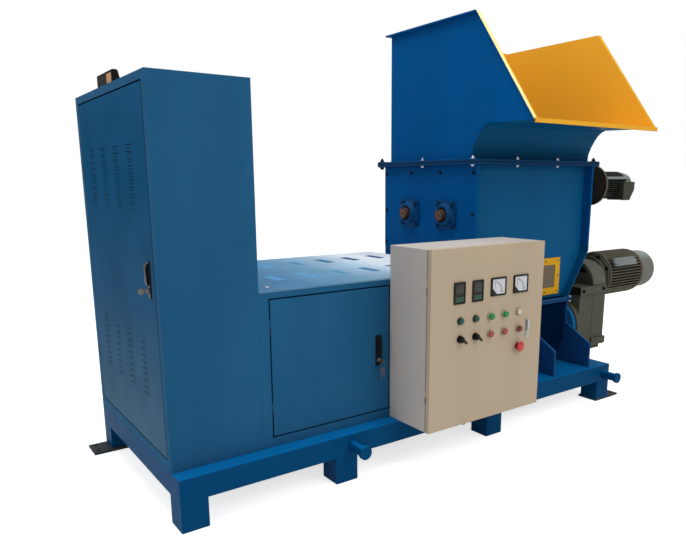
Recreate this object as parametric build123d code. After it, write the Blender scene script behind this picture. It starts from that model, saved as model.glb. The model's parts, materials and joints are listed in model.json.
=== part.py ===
# Foam hot melting machine: hopper and two-shaft crusher above a heated screw, on one base frame.
# Millimetres. X runs along the machine from the tall cabinet to the drive, Y away from the
# operator, Z up. Places below count from the outer corner of the front left leg; the finished
# pieces are moved so that the origin is the middle of that leg's foot, on the floor.
from build123d import *
import os

# Base frame
frame_length = 2648
frame_width = 1070
leg_size = 110
leg_height = 120
leg_wall = 6
rail_height = 95
rail_width = 110
second_leg_x = 689
third_leg_x = 1608
foot_length = 195
right_foot_length = 215
foot_width = 125
foot_thickness = 12
foot_hole_d = 18
foot_hole_edge = 28
foot_hole_pitch = 66
pin_bar_d = 46
pin_disc_d = 60
pin_disc_thickness = 14
pin_length = 100
pin_drop = 56
first_pin_x = 775
second_pin_inset = 58
rail_top = leg_height + rail_height
frame_inset = 76
deck_thickness = 6

# Sheet metal and running gaps
sheet = 4
door_gap = 6
door_thickness = 20
seat_gap = 0.3
hinge_pin_d = 2.4
hinge_knuckle_d = 5
hinge_depth = 1
hinge_height = 60
hinge_web = 3

# Tall cabinet at the left end, with its door on the end face
tall_length = 387
tall_height = 1447
tall_door_near_margin = 44
tall_door_far_margin = 45
tall_door_bottom_margin = 45
tall_door_top_margin = 37
tall_handle_width = 26
tall_handle_height = 136
tall_handle_depth = 24
tall_handle_inset = 36
tall_handle_z = rail_top + 727
roof_box_length = 38
roof_box_width = 222
roof_box_height = 58
roof_box_inset = 22
roof_box_y = 535

# Low cabinet over the heated barrel
low_length = 1225
low_height = 655
low_top_thickness = 8
low_back_inset = 42
low_door_left_margin = 48
low_door_width = 594
low_door_bottom_margin = 46
low_door_top_margin = 38
low_handle_width = 30
low_handle_height = 140
low_handle_depth = 26
low_handle_inset = 46
low_handle_z = rail_top + 330

# Control box on the front rail
control_x = 1036
control_width = 709
control_height = 800
control_depth = 275
control_door_thickness = 22
control_lip = 30
mounting_plate_margin = 45
mounting_plate_thickness = 3
controller_size = (66, 96)
controller_depth = 6
controller_x = (162, 272)
controller_z = 605
meter_size = (96, 83)
meter_depth = 7
meter_x = (402, 549)
meter_z = 612
lamp_d = 34
lamp_depth = 17
lamp_x = (171, 264)
upper_row_z = 481
button_d = 28
button_ring_d = 34
button_depth = 24
button_x = (355, 446, 543)
selector_x = (171, 264)
lower_row_z = 400
selector_d = 28
selector_depth = 12
selector_lever = (10, 26, 11)
selector_lever_angle = 40
selector_base_depth = 6
stop_x = 543
stop_z = 316
stop_base_d = 32
stop_button_d = 49
stop_button_depth = 13
stop_stem_d = 22
stop_travel = 6
control_handle_width = 24
control_handle_height = 92
control_handle_depth = 12
control_handle_inset = 100
control_handle_z = 395

# Crusher body and the silo below it
crusher_left = 1684
crusher_right = 2645
crusher_front = 198
crusher_back = 966
crusher_bottom = 909
side_plate = 14
front_setback = 52
silo_wall = 8
flange_level = 1374
flange_thickness = 14
flange_reach = 32
silo_top = 880
silo_back_inset = 40
shaft_z = 1114
near_shaft_y = 418
far_shaft_y = 720
shaft_d = 60
shaft_stub = 62
blade_radius = 122
blade_thickness = 20
blade_width = 70
blade_count = 6
bearing_size = 150
bearing_depth = 42
bearing_bore_gap = 0.5

# Window in the lower silo
window_x = (2183, 2443)
window_z = (632, 850)
window_border = 42
window_rebate = 8
window_frame_thickness = 6
window_glass_thickness = 4

# Hopper
hopper_bottom = flange_level + 2 * flange_thickness
hopper_top = 2100
hopper_left = 1684
hopper_right = 2645
hopper_back = 908
hopper_crest_y = 225
hopper_throat_y = 246
hopper_bend = ((243, 1440), (228, 1478), (205, 1518), (183, 1546), (163, 1562), (140, 1572))
hopper_shelf_z = 1565
hopper_lip_y = -165
hopper_wall = 6
hopper_rim_reach = 25
hopper_rim_thickness = 8
hopper_edge_reach = 16
hopper_lip_height = 20

# Feed housing, its support plates and the screw barrel
screw_y = 300
screw_z = 430
support_left = 2158
support_right = 2472
support_thickness = 12
support_foot_y = 25
support_shoulder_z = 360
support_neck = 97
support_slope_z = 457
throat_z = 592
throat_thickness = 22
throat_margin = 14
housing_side = 170
barrel_d = 160
screw_bore = 110
barrel_left = 600
barrel_gap = 5
bell_d = 290
bell_length = 22

# Main drive: parallel shaft reducer and its motor
reducer_left = 2540
reducer_right = 2792
crown_left = 2668
reducer_half_width = 140
reducer_bottom = 261
reducer_flange_d = 316
band_left = 2530
band_right = 2783
band_half_width = 152
band_bottom = 620
band_top = 668
crown_radius = 140
foot_rim = 22
foot_rim_height = 44
foot_toe = 33
motor_z = 708
motor_d = 284
motor_adaptor_length = 53
motor_adaptor_d = 240
motor_length = 351
cowl_length = 176
cowl_d = 244
terminal_start = 25
terminal_length = 226
terminal_width = 48
terminal_height = 22
terminal_angle = 32

# Crusher drive on the right side plate
guard_depth = 92
guard_y = (280, 812)
guard_z = (1010, 1350)
drive_y = 380
drive_z = 1264
gearbox_d = 248
gearbox_length = 128
drive_flange_d = 252
drive_flange_length = 26
small_motor_d = 172
small_motor_length = 333
small_terminal_start = 172
small_terminal_length = 112
small_terminal_z = (-93, 19)
small_terminal_reach = 116
small_terminal_cut = (44, 66)

# Uprights carrying the crusher
upright_size = 80
upright_wall = 5
back_upright_x = (1747, 2552)
front_upright_x = 1638
front_upright_y = 130

cabinet_front = frame_inset
cabinet_back = frame_width
low_left = tall_length
low_right = low_left + low_length
low_top = rail_top + low_height
tall_top = rail_top + tall_height
control_front = cabinet_front - control_depth
control_bottom = rail_top
control_right = control_x + control_width
control_top = control_bottom + control_height


def block(x, y, z):
    """A box between two values on each axis."""
    size = (x[1] - x[0], y[1] - y[0], z[1] - z[0])
    return Pos(x[0], y[0], z[0]) * Box(*size, align=(Align.MIN, Align.MIN, Align.MIN))


def grown(span, gap):
    """A span widened by the same gap at both ends."""
    return (span[0] - gap, span[1] + gap)


def shrunk(span, wall):
    """A span narrowed by the same wall at both ends."""
    return (span[0] + wall, span[1] - wall)


def bar_x(x, y, z, d):
    """A round bar along X."""
    bar = Cylinder(d / 2, x[1] - x[0], align=(Align.CENTER, Align.CENTER, Align.MIN))
    return Pos(x[0], y, z) * Rot(0, 90, 0) * bar


def bar_y(x, y, z, d):
    """A round bar along Y."""
    bar = Cylinder(d / 2, y[1] - y[0], align=(Align.CENTER, Align.CENTER, Align.MIN))
    return Pos(x, y[0], z) * Rot(-90, 0, 0) * bar


def bar_z(x, y, z, d):
    """A round bar along Z."""
    return Pos(x, y, z[0]) * Cylinder(d / 2, z[1] - z[0], align=(Align.CENTER, Align.CENTER, Align.MIN))


def plate_yz(x, outline):
    """A plate between two X values whose outline is given as (y, z) points."""
    face = make_face(Polyline(*[(x[0], y, z) for y, z in outline], close=True))
    return extrude(face, amount=x[1] - x[0], dir=(1, 0, 0))


def plate_xz(y, outline):
    """A plate between two Y values whose outline is given as (x, z) points."""
    face = make_face(Polyline(*[(x, y[0], z) for x, z in outline], close=True))
    return extrude(face, amount=y[1] - y[0], dir=(0, 1, 0))


def save(name, *solids):
    """Write one sub-part; several solids stay apart in one file."""
    moved = [Pos(-leg_size / 2, -leg_size / 2, 0) * solid for solid in solids]
    shape = moved[0] if len(moved) == 1 else Compound(children=moved)
    export_step(shape, f"parts/{name}.step")


leg_x = (0, second_leg_x, third_leg_x, frame_length - leg_size)


def tube(x, y, z, wall, axis):
    """A rectangular hollow section, open at both ends along one axis."""
    spans = [x, y, z]
    inner = [s if i == "XYZ".index(axis) else (s[0] + wall, s[1] - wall) for i, s in enumerate(spans)]
    return block(*spans) - block(*inner)


def rails():
    """Front and back rails, full length, with their ends closed."""
    z = (leg_height, rail_top)
    found = []
    for y in ((0, rail_width), (frame_width - rail_width, frame_width)):
        rail = block((0, frame_length), y, z)
        rail -= block(shrunk((0, frame_length), leg_wall), shrunk(y, leg_wall), shrunk(z, leg_wall))
        found.append(rail)
    return found


def cross_members():
    """Short tubes between the two rails, over each pair of legs."""
    y = (rail_width, frame_width - rail_width)
    return [tube((x, x + leg_size), y, (leg_height, rail_top), leg_wall, "Y") for x in leg_x]


def legs():
    """Eight square legs under the rails, closed at the foot."""
    found = []
    for x in leg_x:
        for y in (0, frame_width - leg_size):
            span_x, span_y = (x, x + leg_size), (y, y + leg_size)
            on_plate = x == leg_x[-1] or (x == leg_x[0] and y > 0)
            start = foot_thickness if on_plate else 0
            leg = tube(span_x, span_y, (start, leg_height), leg_wall, "Z")
            found.append(leg + block(span_x, span_y, (start, start + leg_wall)))
    return found


bay_x = (third_leg_x + leg_size, frame_length - leg_size)
far_foot = 2 * screw_y - support_foot_y
inner_rail_y = (far_foot - rail_width, far_foot)


def inner_rail():
    """Tube between the last two cross members, under the far feet of the support plates."""
    return tube(bay_x, inner_rail_y, (leg_height, rail_top), leg_wall, "X")


def deck_plate():
    """Plate let in between the front rail and the inner rail, level with their tops."""
    return block(bay_x, (rail_width, inner_rail_y[0]), (rail_top - deck_thickness, rail_top))


def foot_plates():
    """Plates with bolt holes under three corner legs, reaching out past the frame's ends."""
    left = leg_size - foot_length
    right = frame_length - leg_size + right_foot_length
    back = frame_width - foot_width
    plates = []
    for x, y, hole_x in (((left, leg_size), back, left + foot_hole_edge),
                         ((frame_length - leg_size, right), 0, right - foot_hole_edge),
                         ((frame_length - leg_size, right), back, right - foot_hole_edge)):
        plate = block(x, (y, y + foot_width), (0, foot_thickness))
        middle = y + foot_width / 2
        for hole_y in (middle - foot_hole_pitch / 2, middle + foot_hole_pitch / 2):
            plate -= bar_z(hole_x, hole_y, (0, foot_thickness), foot_hole_d)
        plates.append(plate)
    return plates


def lifting_pins():
    """Round bars with end discs on both rails, for slinging the machine."""
    z = rail_top - pin_drop
    pins = []
    for x in (first_pin_x, frame_length - second_pin_inset):
        front = bar_y(x, (-pin_length, 0), z, pin_bar_d)
        front += bar_y(x, (-pin_length, pin_disc_thickness - pin_length), z, pin_disc_d)
        pins.append(front)
        end = frame_width + pin_length
        back = bar_y(x, (frame_width, end), z, pin_bar_d)
        back += bar_y(x, (end - pin_disc_thickness, end), z, pin_disc_d)
        pins.append(back)
    return pins


tall_door_y = (cabinet_front + tall_door_near_margin, cabinet_back - tall_door_far_margin)
tall_door_z = (rail_top + tall_door_bottom_margin, tall_top - tall_door_top_margin)
low_door_x = (low_left + low_door_left_margin, low_left + low_door_left_margin + low_door_width)
low_door_z = (rail_top + low_door_bottom_margin, low_top - low_door_top_margin)


def tall_cabinet():
    """Shell with a door opening in the end face, and the flush door."""
    y = (cabinet_front, cabinet_back)
    shell = block((0, tall_length), y, (rail_top, tall_top))
    shell -= block((sheet, tall_length - sheet), (y[0] + sheet, y[1] - sheet),
                   (rail_top + sheet, tall_top - sheet))
    shell -= block((0, sheet), grown(tall_door_y, door_gap), grown(tall_door_z, door_gap))
    door = block((0, door_thickness), tall_door_y, tall_door_z)
    door -= block((sheet / 2, door_thickness), (tall_door_y[0] + sheet, tall_door_y[1] - sheet),
                  (tall_door_z[0] + sheet, tall_door_z[1] - sheet))
    return shell, door


def roof_box():
    """Small junction box on the roof of the tall cabinet."""
    return block((roof_box_inset, roof_box_inset + roof_box_length),
                 (roof_box_y, roof_box_y + roof_box_width), (tall_top, tall_top + roof_box_height))


def low_cabinet():
    """Open-topped shell with a front door opening, its cover plate and the flush door."""
    y = (cabinet_front, cabinet_back - low_back_inset)
    body_top = low_top - low_top_thickness
    shell = block((low_left, low_right), y, (rail_top, body_top))
    shell -= block((low_left + sheet, low_right - sheet), (y[0] + sheet, y[1] - sheet),
                   (rail_top + sheet, body_top))
    shell -= block(grown(low_door_x, door_gap), (y[0], y[0] + sheet), grown(low_door_z, door_gap))
    shell -= bar_x((low_right - sheet, low_right), screw_y, screw_z, barrel_d + 2 * barrel_gap)
    cover = block((low_left, low_right), y, (body_top, low_top))
    door = block(low_door_x, (y[0], y[0] + door_thickness), low_door_z)
    door -= block((low_door_x[0] + sheet, low_door_x[1] - sheet),
                  (y[0] + sheet / 2, y[0] + door_thickness), (low_door_z[0] + sheet, low_door_z[1] - sheet))
    return shell, cover, door


def door_handles():
    """Lock plates of the two cabinet doors, standing on the door skins."""
    y = tall_door_y[0] + tall_handle_inset
    tall = block((-tall_handle_depth, 0), (y, y + tall_handle_width),
                 (tall_handle_z - tall_handle_height / 2, tall_handle_z + tall_handle_height / 2))
    x = low_door_x[1] - low_handle_inset - low_handle_width
    low = block((x, x + low_handle_width), (cabinet_front - low_handle_depth, cabinet_front),
                (low_handle_z - low_handle_height / 2, low_handle_z + low_handle_height / 2))
    return tall, low


control_door_y = (control_front, control_front + control_door_thickness)
control_seat = control_front + control_door_thickness + door_gap


def control_box():
    """Wall box open at the front, its flush-hung door and the plate inside it."""
    z = (control_bottom, control_top)
    shell = block((control_x, control_right), (control_seat, cabinet_front), z)
    cavity = (control_x + sheet, control_right - sheet), (control_bottom + sheet, control_top - sheet)
    shell -= block(cavity[0], (control_seat + sheet, cabinet_front - sheet), cavity[1])
    opening = (control_x + control_lip, control_right - control_lip)
    shell -= block(opening, (control_seat, control_seat + sheet),
                   (control_bottom + control_lip, control_top - control_lip))
    door = block((control_x, control_right), control_door_y, z)
    door -= block(cavity[0], (control_front + sheet, control_door_y[1]), cavity[1])
    margin = mounting_plate_margin
    plate = block((control_x + margin, control_right - margin),
                  (cabinet_front - sheet - mounting_plate_thickness, cabinet_front - sheet),
                  (control_bottom + margin, control_top - margin))
    return shell, door, plate


def on_door(dx, dz):
    """A place on the control door, from its lower left corner."""
    return control_x + dx, control_bottom + dz


def square_instruments(xs, dz, size, depth):
    """Instruments with square bezels that stand on the control door."""
    found = []
    for dx in xs:
        x, z = on_door(dx, dz)
        found.append(block((x - size[0] / 2, x + size[0] / 2), (control_front - depth, control_front),
                           (z - size[1] / 2, z + size[1] / 2)))
    return found


def round_on_door(dx, dz, d, depth, start=0):
    """A round piece that stands out from the control door."""
    x, z = on_door(dx, dz)
    return bar_y(x, (control_front - start - depth, control_front - start), z, d)


def lamps():
    return [round_on_door(dx, upper_row_z, lamp_d, lamp_depth) for dx in lamp_x]


def push_buttons():
    """A wide ring on the door with the button standing in it."""
    ring = button_depth / 2
    return [round_on_door(dx, dz, button_ring_d, ring) + round_on_door(dx, dz, button_d, button_depth)
            for dz in (upper_row_z, lower_row_z) for dx in button_x]


def switch_bases():
    """Fixed rings under the two selectors and the sleeve of the stop button."""
    rings = [round_on_door(dx, lower_row_z, button_ring_d, selector_base_depth) for dx in selector_x]
    sleeve = round_on_door(stop_x, stop_z, stop_base_d, stop_travel + seat_gap + selector_base_depth)
    sleeve -= round_on_door(stop_x, stop_z, stop_stem_d + 2 * seat_gap,
                            stop_travel + seat_gap, selector_base_depth)
    return rings + [sleeve]


def selector(dx):
    """A round selector turning on its ring, with a lever that points down and to the right."""
    start = selector_base_depth + seat_gap
    knob = round_on_door(dx, lower_row_z, selector_d, selector_depth, start)
    x, z = on_door(dx, lower_row_z)
    width, length, height = selector_lever
    near = control_front - start - selector_depth
    lever = block((-width, length), (near - height, near), (-width / 2, width / 2))
    return knob + Pos(x, 0, z) * Rot(0, selector_lever_angle, 0) * lever


def stop_button():
    """A mushroom head on a stem that slides in its sleeve."""
    start = 2 * stop_travel + seat_gap + selector_base_depth
    head = round_on_door(stop_x, stop_z, stop_button_d, stop_button_depth, start)
    stem_start = selector_base_depth + stop_travel + seat_gap
    stem = round_on_door(stop_x, stop_z, stop_stem_d, start - stem_start, stem_start)
    return head + stem


def control_handle():
    x, z = on_door(control_width - control_handle_inset, control_handle_z)
    return block((x - control_handle_width / 2, x + control_handle_width / 2),
                 (control_front - control_handle_depth, control_front),
                 (z - control_handle_height / 2, z + control_handle_height / 2))


def hinge_heights(z):
    """Two hinges, each one fifth of the door's height from its end."""
    fifth = (z[1] - z[0]) / 5
    return (z[0] + fifth, z[1] - fifth)


tall_hinge = (hinge_depth, tall_door_y[1] + door_gap / 2)
low_hinge = (low_door_x[0] - door_gap / 2, cabinet_front + hinge_depth)
control_hinge = (control_x + hinge_depth, control_seat - door_gap / 2)


def hinge_pair(axis, z, to_frame, to_door):
    """Fixed half with the pin and door half with the sleeve, both inside the door's gap."""
    x, y = axis
    half = hinge_height / 2
    lower, upper = (z - half, z - seat_gap), (z, z + half)
    fixed = bar_z(x, y, lower, hinge_knuckle_d) + block(*to_frame, lower)
    fixed += bar_z(x, y, (lower[1], upper[1]), hinge_pin_d)
    moving = bar_z(x, y, upper, hinge_knuckle_d) + block(*to_door, upper)
    return fixed, moving - bar_z(x, y, upper, hinge_pin_d + 2 * seat_gap)


def hinges(axis, door_z, to_frame, to_door):
    """Two hinges; the webs give how far each half reaches from the axis, as (x, y) spans."""
    webs = [((axis[0] + sx[0], axis[0] + sx[1]), (axis[1] + sy[0], axis[1] + sy[1]))
            for sx, sy in (to_frame, to_door)]
    return [hinge_pair(axis, z, *webs) for z in hinge_heights(door_z)]


half_gap = door_gap / 2
inward = (0, hinge_web)


def tall_hinges():
    return hinges(tall_hinge, tall_door_z, (inward, (0, half_gap)), (inward, (-half_gap, 0)))


def low_hinges():
    return hinges(low_hinge, low_door_z, ((-half_gap, 0), inward), ((0, half_gap), inward))


def control_hinges():
    return hinges(control_hinge, (control_bottom, control_top), (inward, (0, half_gap)),
                  (inward, (-half_gap, 0)))


def door_hinges():
    """The fixed halves of all door hinges."""
    return [fixed for fixed, _ in tall_hinges() + low_hinges() + control_hinges()]


def with_knuckles(door, pairs):
    """A door joined to the moving halves of its hinges."""
    for _, moving in pairs:
        door += moving
    return door


def side_plates():
    """Left and right plates of the crusher, with bores for the two shafts."""
    z = (crusher_bottom, flange_level)
    plates = []
    for x in ((crusher_left, crusher_left + side_plate), (crusher_right - side_plate, crusher_right)):
        plate = block(x, (crusher_front, crusher_back), z)
        for y in (near_shaft_y, far_shaft_y):
            plate -= bar_x(x, y, shaft_z, shaft_d + 2 * bearing_bore_gap)
        plates.append(plate)
    return plates


inner_left = crusher_left + side_plate
inner_right = crusher_right - side_plate
front_wall_y = crusher_front + front_setback


def front_and_back_plates():
    z = (crusher_bottom, flange_level)
    front = block((inner_left, inner_right), (front_wall_y, front_wall_y + silo_wall), z)
    back = block((inner_left, inner_right), (crusher_back - silo_wall, crusher_back), z)
    return front, back


def frustum(lower, upper, z):
    """A solid lofted between two rectangles, each ((x0, x1), (y0, y1))."""
    rings = []
    for (x, y), level in ((lower, z[0]), (upper, z[1])):
        ring = Polyline((x[0], y[0], level), (x[1], y[0], level), (x[1], y[1], level),
                        (x[0], y[1], level), close=True)
        rings.append(make_face(ring))
    return loft(rings)


throat_top = throat_z + throat_thickness
throat_x = (support_left - throat_margin, support_right + support_thickness + throat_margin)
throat_y = (screw_y - support_neck - throat_margin, screw_y + support_neck + throat_margin)


silo_back = crusher_back - silo_back_inset
silo_low = (shrunk(throat_x, throat_margin), shrunk(throat_y, throat_margin))
silo_high = ((crusher_left, crusher_right), (crusher_front, silo_back))


glass_x = shrunk(window_x, window_border)
glass_z = shrunk(window_z, window_border)


def on_sheet(x, z, near, far):
    """A plate on the silo's front sheet, from one distance before it to another."""
    return block(x, (front_wall_y - far, front_wall_y - near), z)


def window():
    """Frame and glass on the front sheet of the silo."""
    frame = on_sheet(window_x, window_z, 0, window_frame_thickness)
    frame -= on_sheet(glass_x, glass_z, 0, window_frame_thickness)
    return frame, on_sheet(glass_x, glass_z, 0, window_glass_thickness)


def silo_block():
    """The silo's outer form: a straight collar over a narrowing funnel."""
    funnel = frustum(silo_low, silo_high, (throat_top, silo_top))
    return funnel + block(silo_high[0], silo_high[1], (silo_top, crusher_bottom))


def silo_funnel():
    """Hollow silo, whose upright front sheet is set back between the side walls."""
    wall = silo_wall
    x, y = silo_high
    low_x, low_y = silo_low
    room_high = (shrunk(x, wall), (front_wall_y + wall, y[1] - wall))
    room_low = (shrunk(low_x, wall), (front_wall_y + wall, low_y[1] - wall))
    z = (throat_top, silo_top)
    silo = silo_block() - frustum(room_low, room_high, z)
    silo -= block(room_high[0], room_high[1], (silo_top, crusher_bottom))
    reach_high = (shrunk(x, wall), (y[0] - front_setback, front_wall_y))
    reach_low = (shrunk(low_x, wall), (low_y[0] - front_setback, front_wall_y))
    silo -= frustum(reach_low, reach_high, z)
    silo -= block(reach_high[0], reach_high[1], (silo_top, crusher_bottom))
    pane = shrunk(glass_x, window_rebate), shrunk(glass_z, window_rebate)
    return silo - on_sheet(*pane, -silo_wall, 0)


def uprights():
    """Two tubes from the back rail up the crusher's back, and one under its front left corner."""
    size = upright_size
    posts = [tube((x, x + size), (crusher_back, crusher_back + size), (rail_top, flange_level),
                  upright_wall, "Z") for x in back_upright_x]
    front = tube((front_upright_x, front_upright_x + size), (front_upright_y, front_upright_y + size),
                 (rail_top, crusher_bottom), upright_wall, "Z")
    return posts + [front - silo_block()]


def ring_plate(x, y, z, hole_x, hole_y):
    return block(x, y, z) - block(hole_x, hole_y, z)


def flanges():
    """The crusher's top flange and the hopper's bottom flange on it."""
    x = grown((crusher_left, crusher_right), flange_reach)
    y = (crusher_front - side_plate, crusher_back + flange_reach)
    middle = flange_level + flange_thickness
    lower = ring_plate(x, y, (flange_level, middle), (inner_left, inner_right),
                       (front_wall_y + silo_wall, crusher_back - silo_wall))
    upper = ring_plate(x, y, (middle, hopper_bottom), shrunk((hopper_left, hopper_right), hopper_wall),
                       (hopper_throat_y + hopper_wall, hopper_back - hopper_wall))
    return lower, upper


def bearings():
    """Square flange housings on the outside of both plates."""
    found = []
    half = bearing_size / 2
    sides = ((crusher_left - bearing_depth, crusher_left), (crusher_right, crusher_right + bearing_depth))
    for x in sides:
        for y in (near_shaft_y, far_shaft_y):
            square = block(x, (y - half, y + half), (shaft_z - half, shaft_z + half))
            found.append(square - bar_x(x, y, shaft_z, shaft_d + 2 * bearing_bore_gap))
    return found


def crusher_shaft(y, phase):
    """A shaft through both plates with flat blades set around it."""
    ends = (crusher_left - shaft_stub, crusher_right + shaft_stub)
    shaft = bar_x(ends, y, shaft_z, shaft_d)
    room = inner_right - inner_left
    pitch = room / blade_count
    for i in range(blade_count):
        x = inner_left + pitch * (i + 0.25 + 0.5 * phase) - blade_thickness / 2
        blade = Box(blade_thickness, blade_width, 2 * blade_radius,
                    align=(Align.MIN, Align.CENTER, Align.CENTER))
        turn = 180 / blade_count * i + 90 * phase
        shaft += Pos(x, y, shaft_z) * Rot(turn, 0, 0) * blade
    return shaft


hopper_profile = ((hopper_back, hopper_bottom), (hopper_throat_y, hopper_bottom), *hopper_bend,
                  (hopper_lip_y, hopper_shelf_z), (hopper_crest_y, hopper_top), (hopper_back, hopper_top))


def hopper():
    """Side walls, back wall and the front chute with its shelf and lip."""
    left = plate_yz((hopper_left, hopper_left + hopper_wall), hopper_profile)
    right = plate_yz((hopper_right - hopper_wall, hopper_right), hopper_profile)
    rim_z = (hopper_top - hopper_rim_thickness, hopper_top)
    rim_y = (hopper_crest_y, hopper_back + hopper_rim_reach)
    left += block((hopper_left - hopper_rim_reach, hopper_left), rim_y, rim_z)
    right += block((hopper_right, hopper_right + hopper_rim_reach), rim_y, rim_z)
    w = hopper_wall
    edge = ((hopper_lip_y, hopper_shelf_z), (hopper_lip_y + w, hopper_shelf_z),
            (hopper_crest_y + w, hopper_top), (hopper_crest_y, hopper_top))
    left += plate_yz((hopper_left - hopper_edge_reach, hopper_left), edge)
    right += plate_yz((hopper_right, hopper_right + hopper_edge_reach), edge)
    x = shrunk((hopper_left, hopper_right), w)
    back = block(x, (hopper_back - w, hopper_back), (hopper_bottom, hopper_top))
    back += block((hopper_left, hopper_right), (hopper_back, hopper_back + hopper_rim_reach), rim_z)
    bends = len(hopper_bend) - 1
    inside = [(y + w, z + w * i / bends) for i, (y, z) in enumerate(hopper_bend)]
    chute_outline = ((hopper_throat_y, hopper_bottom), *hopper_bend, (hopper_lip_y, hopper_shelf_z),
                     (hopper_lip_y, hopper_shelf_z + w), *reversed(inside),
                     (hopper_throat_y + w, hopper_bottom))
    chute = plate_yz(x, chute_outline)
    lip = block(grown((hopper_left, hopper_right), hopper_edge_reach), (hopper_lip_y - w, hopper_lip_y),
                (hopper_shelf_z + w - hopper_lip_height, hopper_shelf_z + w))
    return left, right, back, chute + lip


def support_plates():
    """Two shouldered plates across the rails, bored for the barrel."""
    near_neck = screw_y - support_neck
    far_neck = screw_y + support_neck
    outline = ((support_foot_y, rail_top), (support_foot_y, support_shoulder_z),
               (near_neck, support_slope_z), (near_neck, throat_z), (far_neck, throat_z),
               (far_neck, support_slope_z), (far_foot, support_shoulder_z), (far_foot, rail_top))
    plates = []
    for x in (support_left, support_right):
        plate = plate_yz((x, x + support_thickness), outline)
        plates.append(plate - bar_x((x, x + support_thickness), screw_y, screw_z, barrel_d))
    return plates


def feed_housing():
    """Boxed housing between the plates, open at the top to the throat and bored for the screw."""
    x = (support_left + support_thickness, support_right)
    half = housing_side / 2
    housing = block(x, (screw_y - half, screw_y + half), (screw_z - barrel_d / 2 - silo_wall, throat_z))
    housing -= block(x, (screw_y - half + silo_wall, screw_y + half - silo_wall), (screw_z, throat_z))
    return housing - bar_x(x, screw_y, screw_z, screw_bore)


def throat_flange():
    rim = throat_margin + silo_wall
    hole = shrunk(throat_x, rim), shrunk(throat_y, rim)
    return ring_plate(throat_x, throat_y, (throat_z, throat_top), *hole)


def barrel():
    """Heated barrel from the low cabinet to the feed housing."""
    x = (barrel_left, support_left + support_thickness)
    return bar_x(x, screw_y, screw_z, barrel_d) - bar_x(x, screw_y, screw_z, screw_bore)


bell_left = support_right + support_thickness


def bell_flange():
    """Round flange on the outer support plate."""
    return bar_x((bell_left, bell_left + bell_length), screw_y, screw_z, bell_d)


def reducer():
    """Parallel shaft reducer: flange, case with a rimmed foot, clamp band and round crown."""
    x = (reducer_left, reducer_right)
    y = (screw_y - reducer_half_width, screw_y + reducer_half_width)
    bottom = reducer_bottom + foot_toe
    case = block(x, y, (bottom, band_top))
    case += block((crown_left, reducer_right + foot_rim / 2), grown(y, foot_rim / 2),
                  (bottom, bottom + foot_rim_height))
    case += block((crown_left, reducer_right), shrunk(y, foot_rim), (reducer_bottom, bottom))
    band_y = (screw_y - band_half_width, screw_y + band_half_width)
    case += block((band_left, band_right), band_y, (band_bottom, band_top))
    crown = bar_x((crown_left, reducer_right), screw_y, band_top, 2 * crown_radius)
    case += crown & block(x, band_y, (band_top, band_top + crown_radius))
    return case + bar_x((bell_left + bell_length, reducer_left), screw_y, screw_z, reducer_flange_d)


motor_start = reducer_right + motor_adaptor_length
motor_end = motor_start + motor_length


def main_motor():
    """Adaptor, motor body and fan cowl on one axis."""
    body = bar_x((reducer_right, motor_start), screw_y, motor_z, motor_adaptor_d)
    body += bar_x((motor_start, motor_end), screw_y, motor_z, motor_d)
    return body + bar_x((motor_end, motor_end + cowl_length), screw_y, motor_z, cowl_d)


def terminal_box():
    """Box on the near upper side of the main motor."""
    x = (motor_start + terminal_start, motor_start + terminal_start + terminal_length)
    radius = motor_d / 2
    box = block(x, (-radius - terminal_height, -radius / 2), (-terminal_width / 2, terminal_width / 2))
    box = Pos(0, screw_y, motor_z) * Rot(-terminal_angle, 0, 0) * box
    return box - bar_x(x, screw_y, motor_z, motor_d)


guard_right = crusher_right + guard_depth


def drive_guard():
    """Housing over the shaft ends and their gears, open towards the right plate."""
    guard = block((crusher_right, guard_right), guard_y, guard_z)
    room = (crusher_right, guard_right - sheet), shrunk(guard_y, sheet), shrunk(guard_z, sheet)
    return guard - block(*room)


def crusher_drive():
    """Round gearbox on the guard and its flange motor."""
    end = guard_right + gearbox_length
    gearbox = bar_x((guard_right, end), drive_y, drive_z, gearbox_d)
    flange = end + drive_flange_length
    motor = bar_x((end, flange), drive_y, drive_z, drive_flange_d)
    return gearbox, motor + bar_x((flange, flange + small_motor_length), drive_y, drive_z, small_motor_d)


small_motor_start = guard_right + gearbox_length + drive_flange_length


def small_terminal_box():
    """Box on the near side of the crusher's motor."""
    start = small_motor_start + small_terminal_start
    x = (start, start + small_terminal_length)
    z = (drive_z + small_terminal_z[0], drive_z + small_terminal_z[1])
    cut_x, cut_z = small_terminal_cut
    outline = ((x[0], z[0]), (x[1] - cut_x, z[0]), (x[1], z[0] + cut_z), (x[1], z[1]), (x[0], z[1]))
    box = plate_xz((drive_y - small_terminal_reach, drive_y), outline)
    return box - bar_x(x, drive_y, drive_z, small_motor_d)


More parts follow.
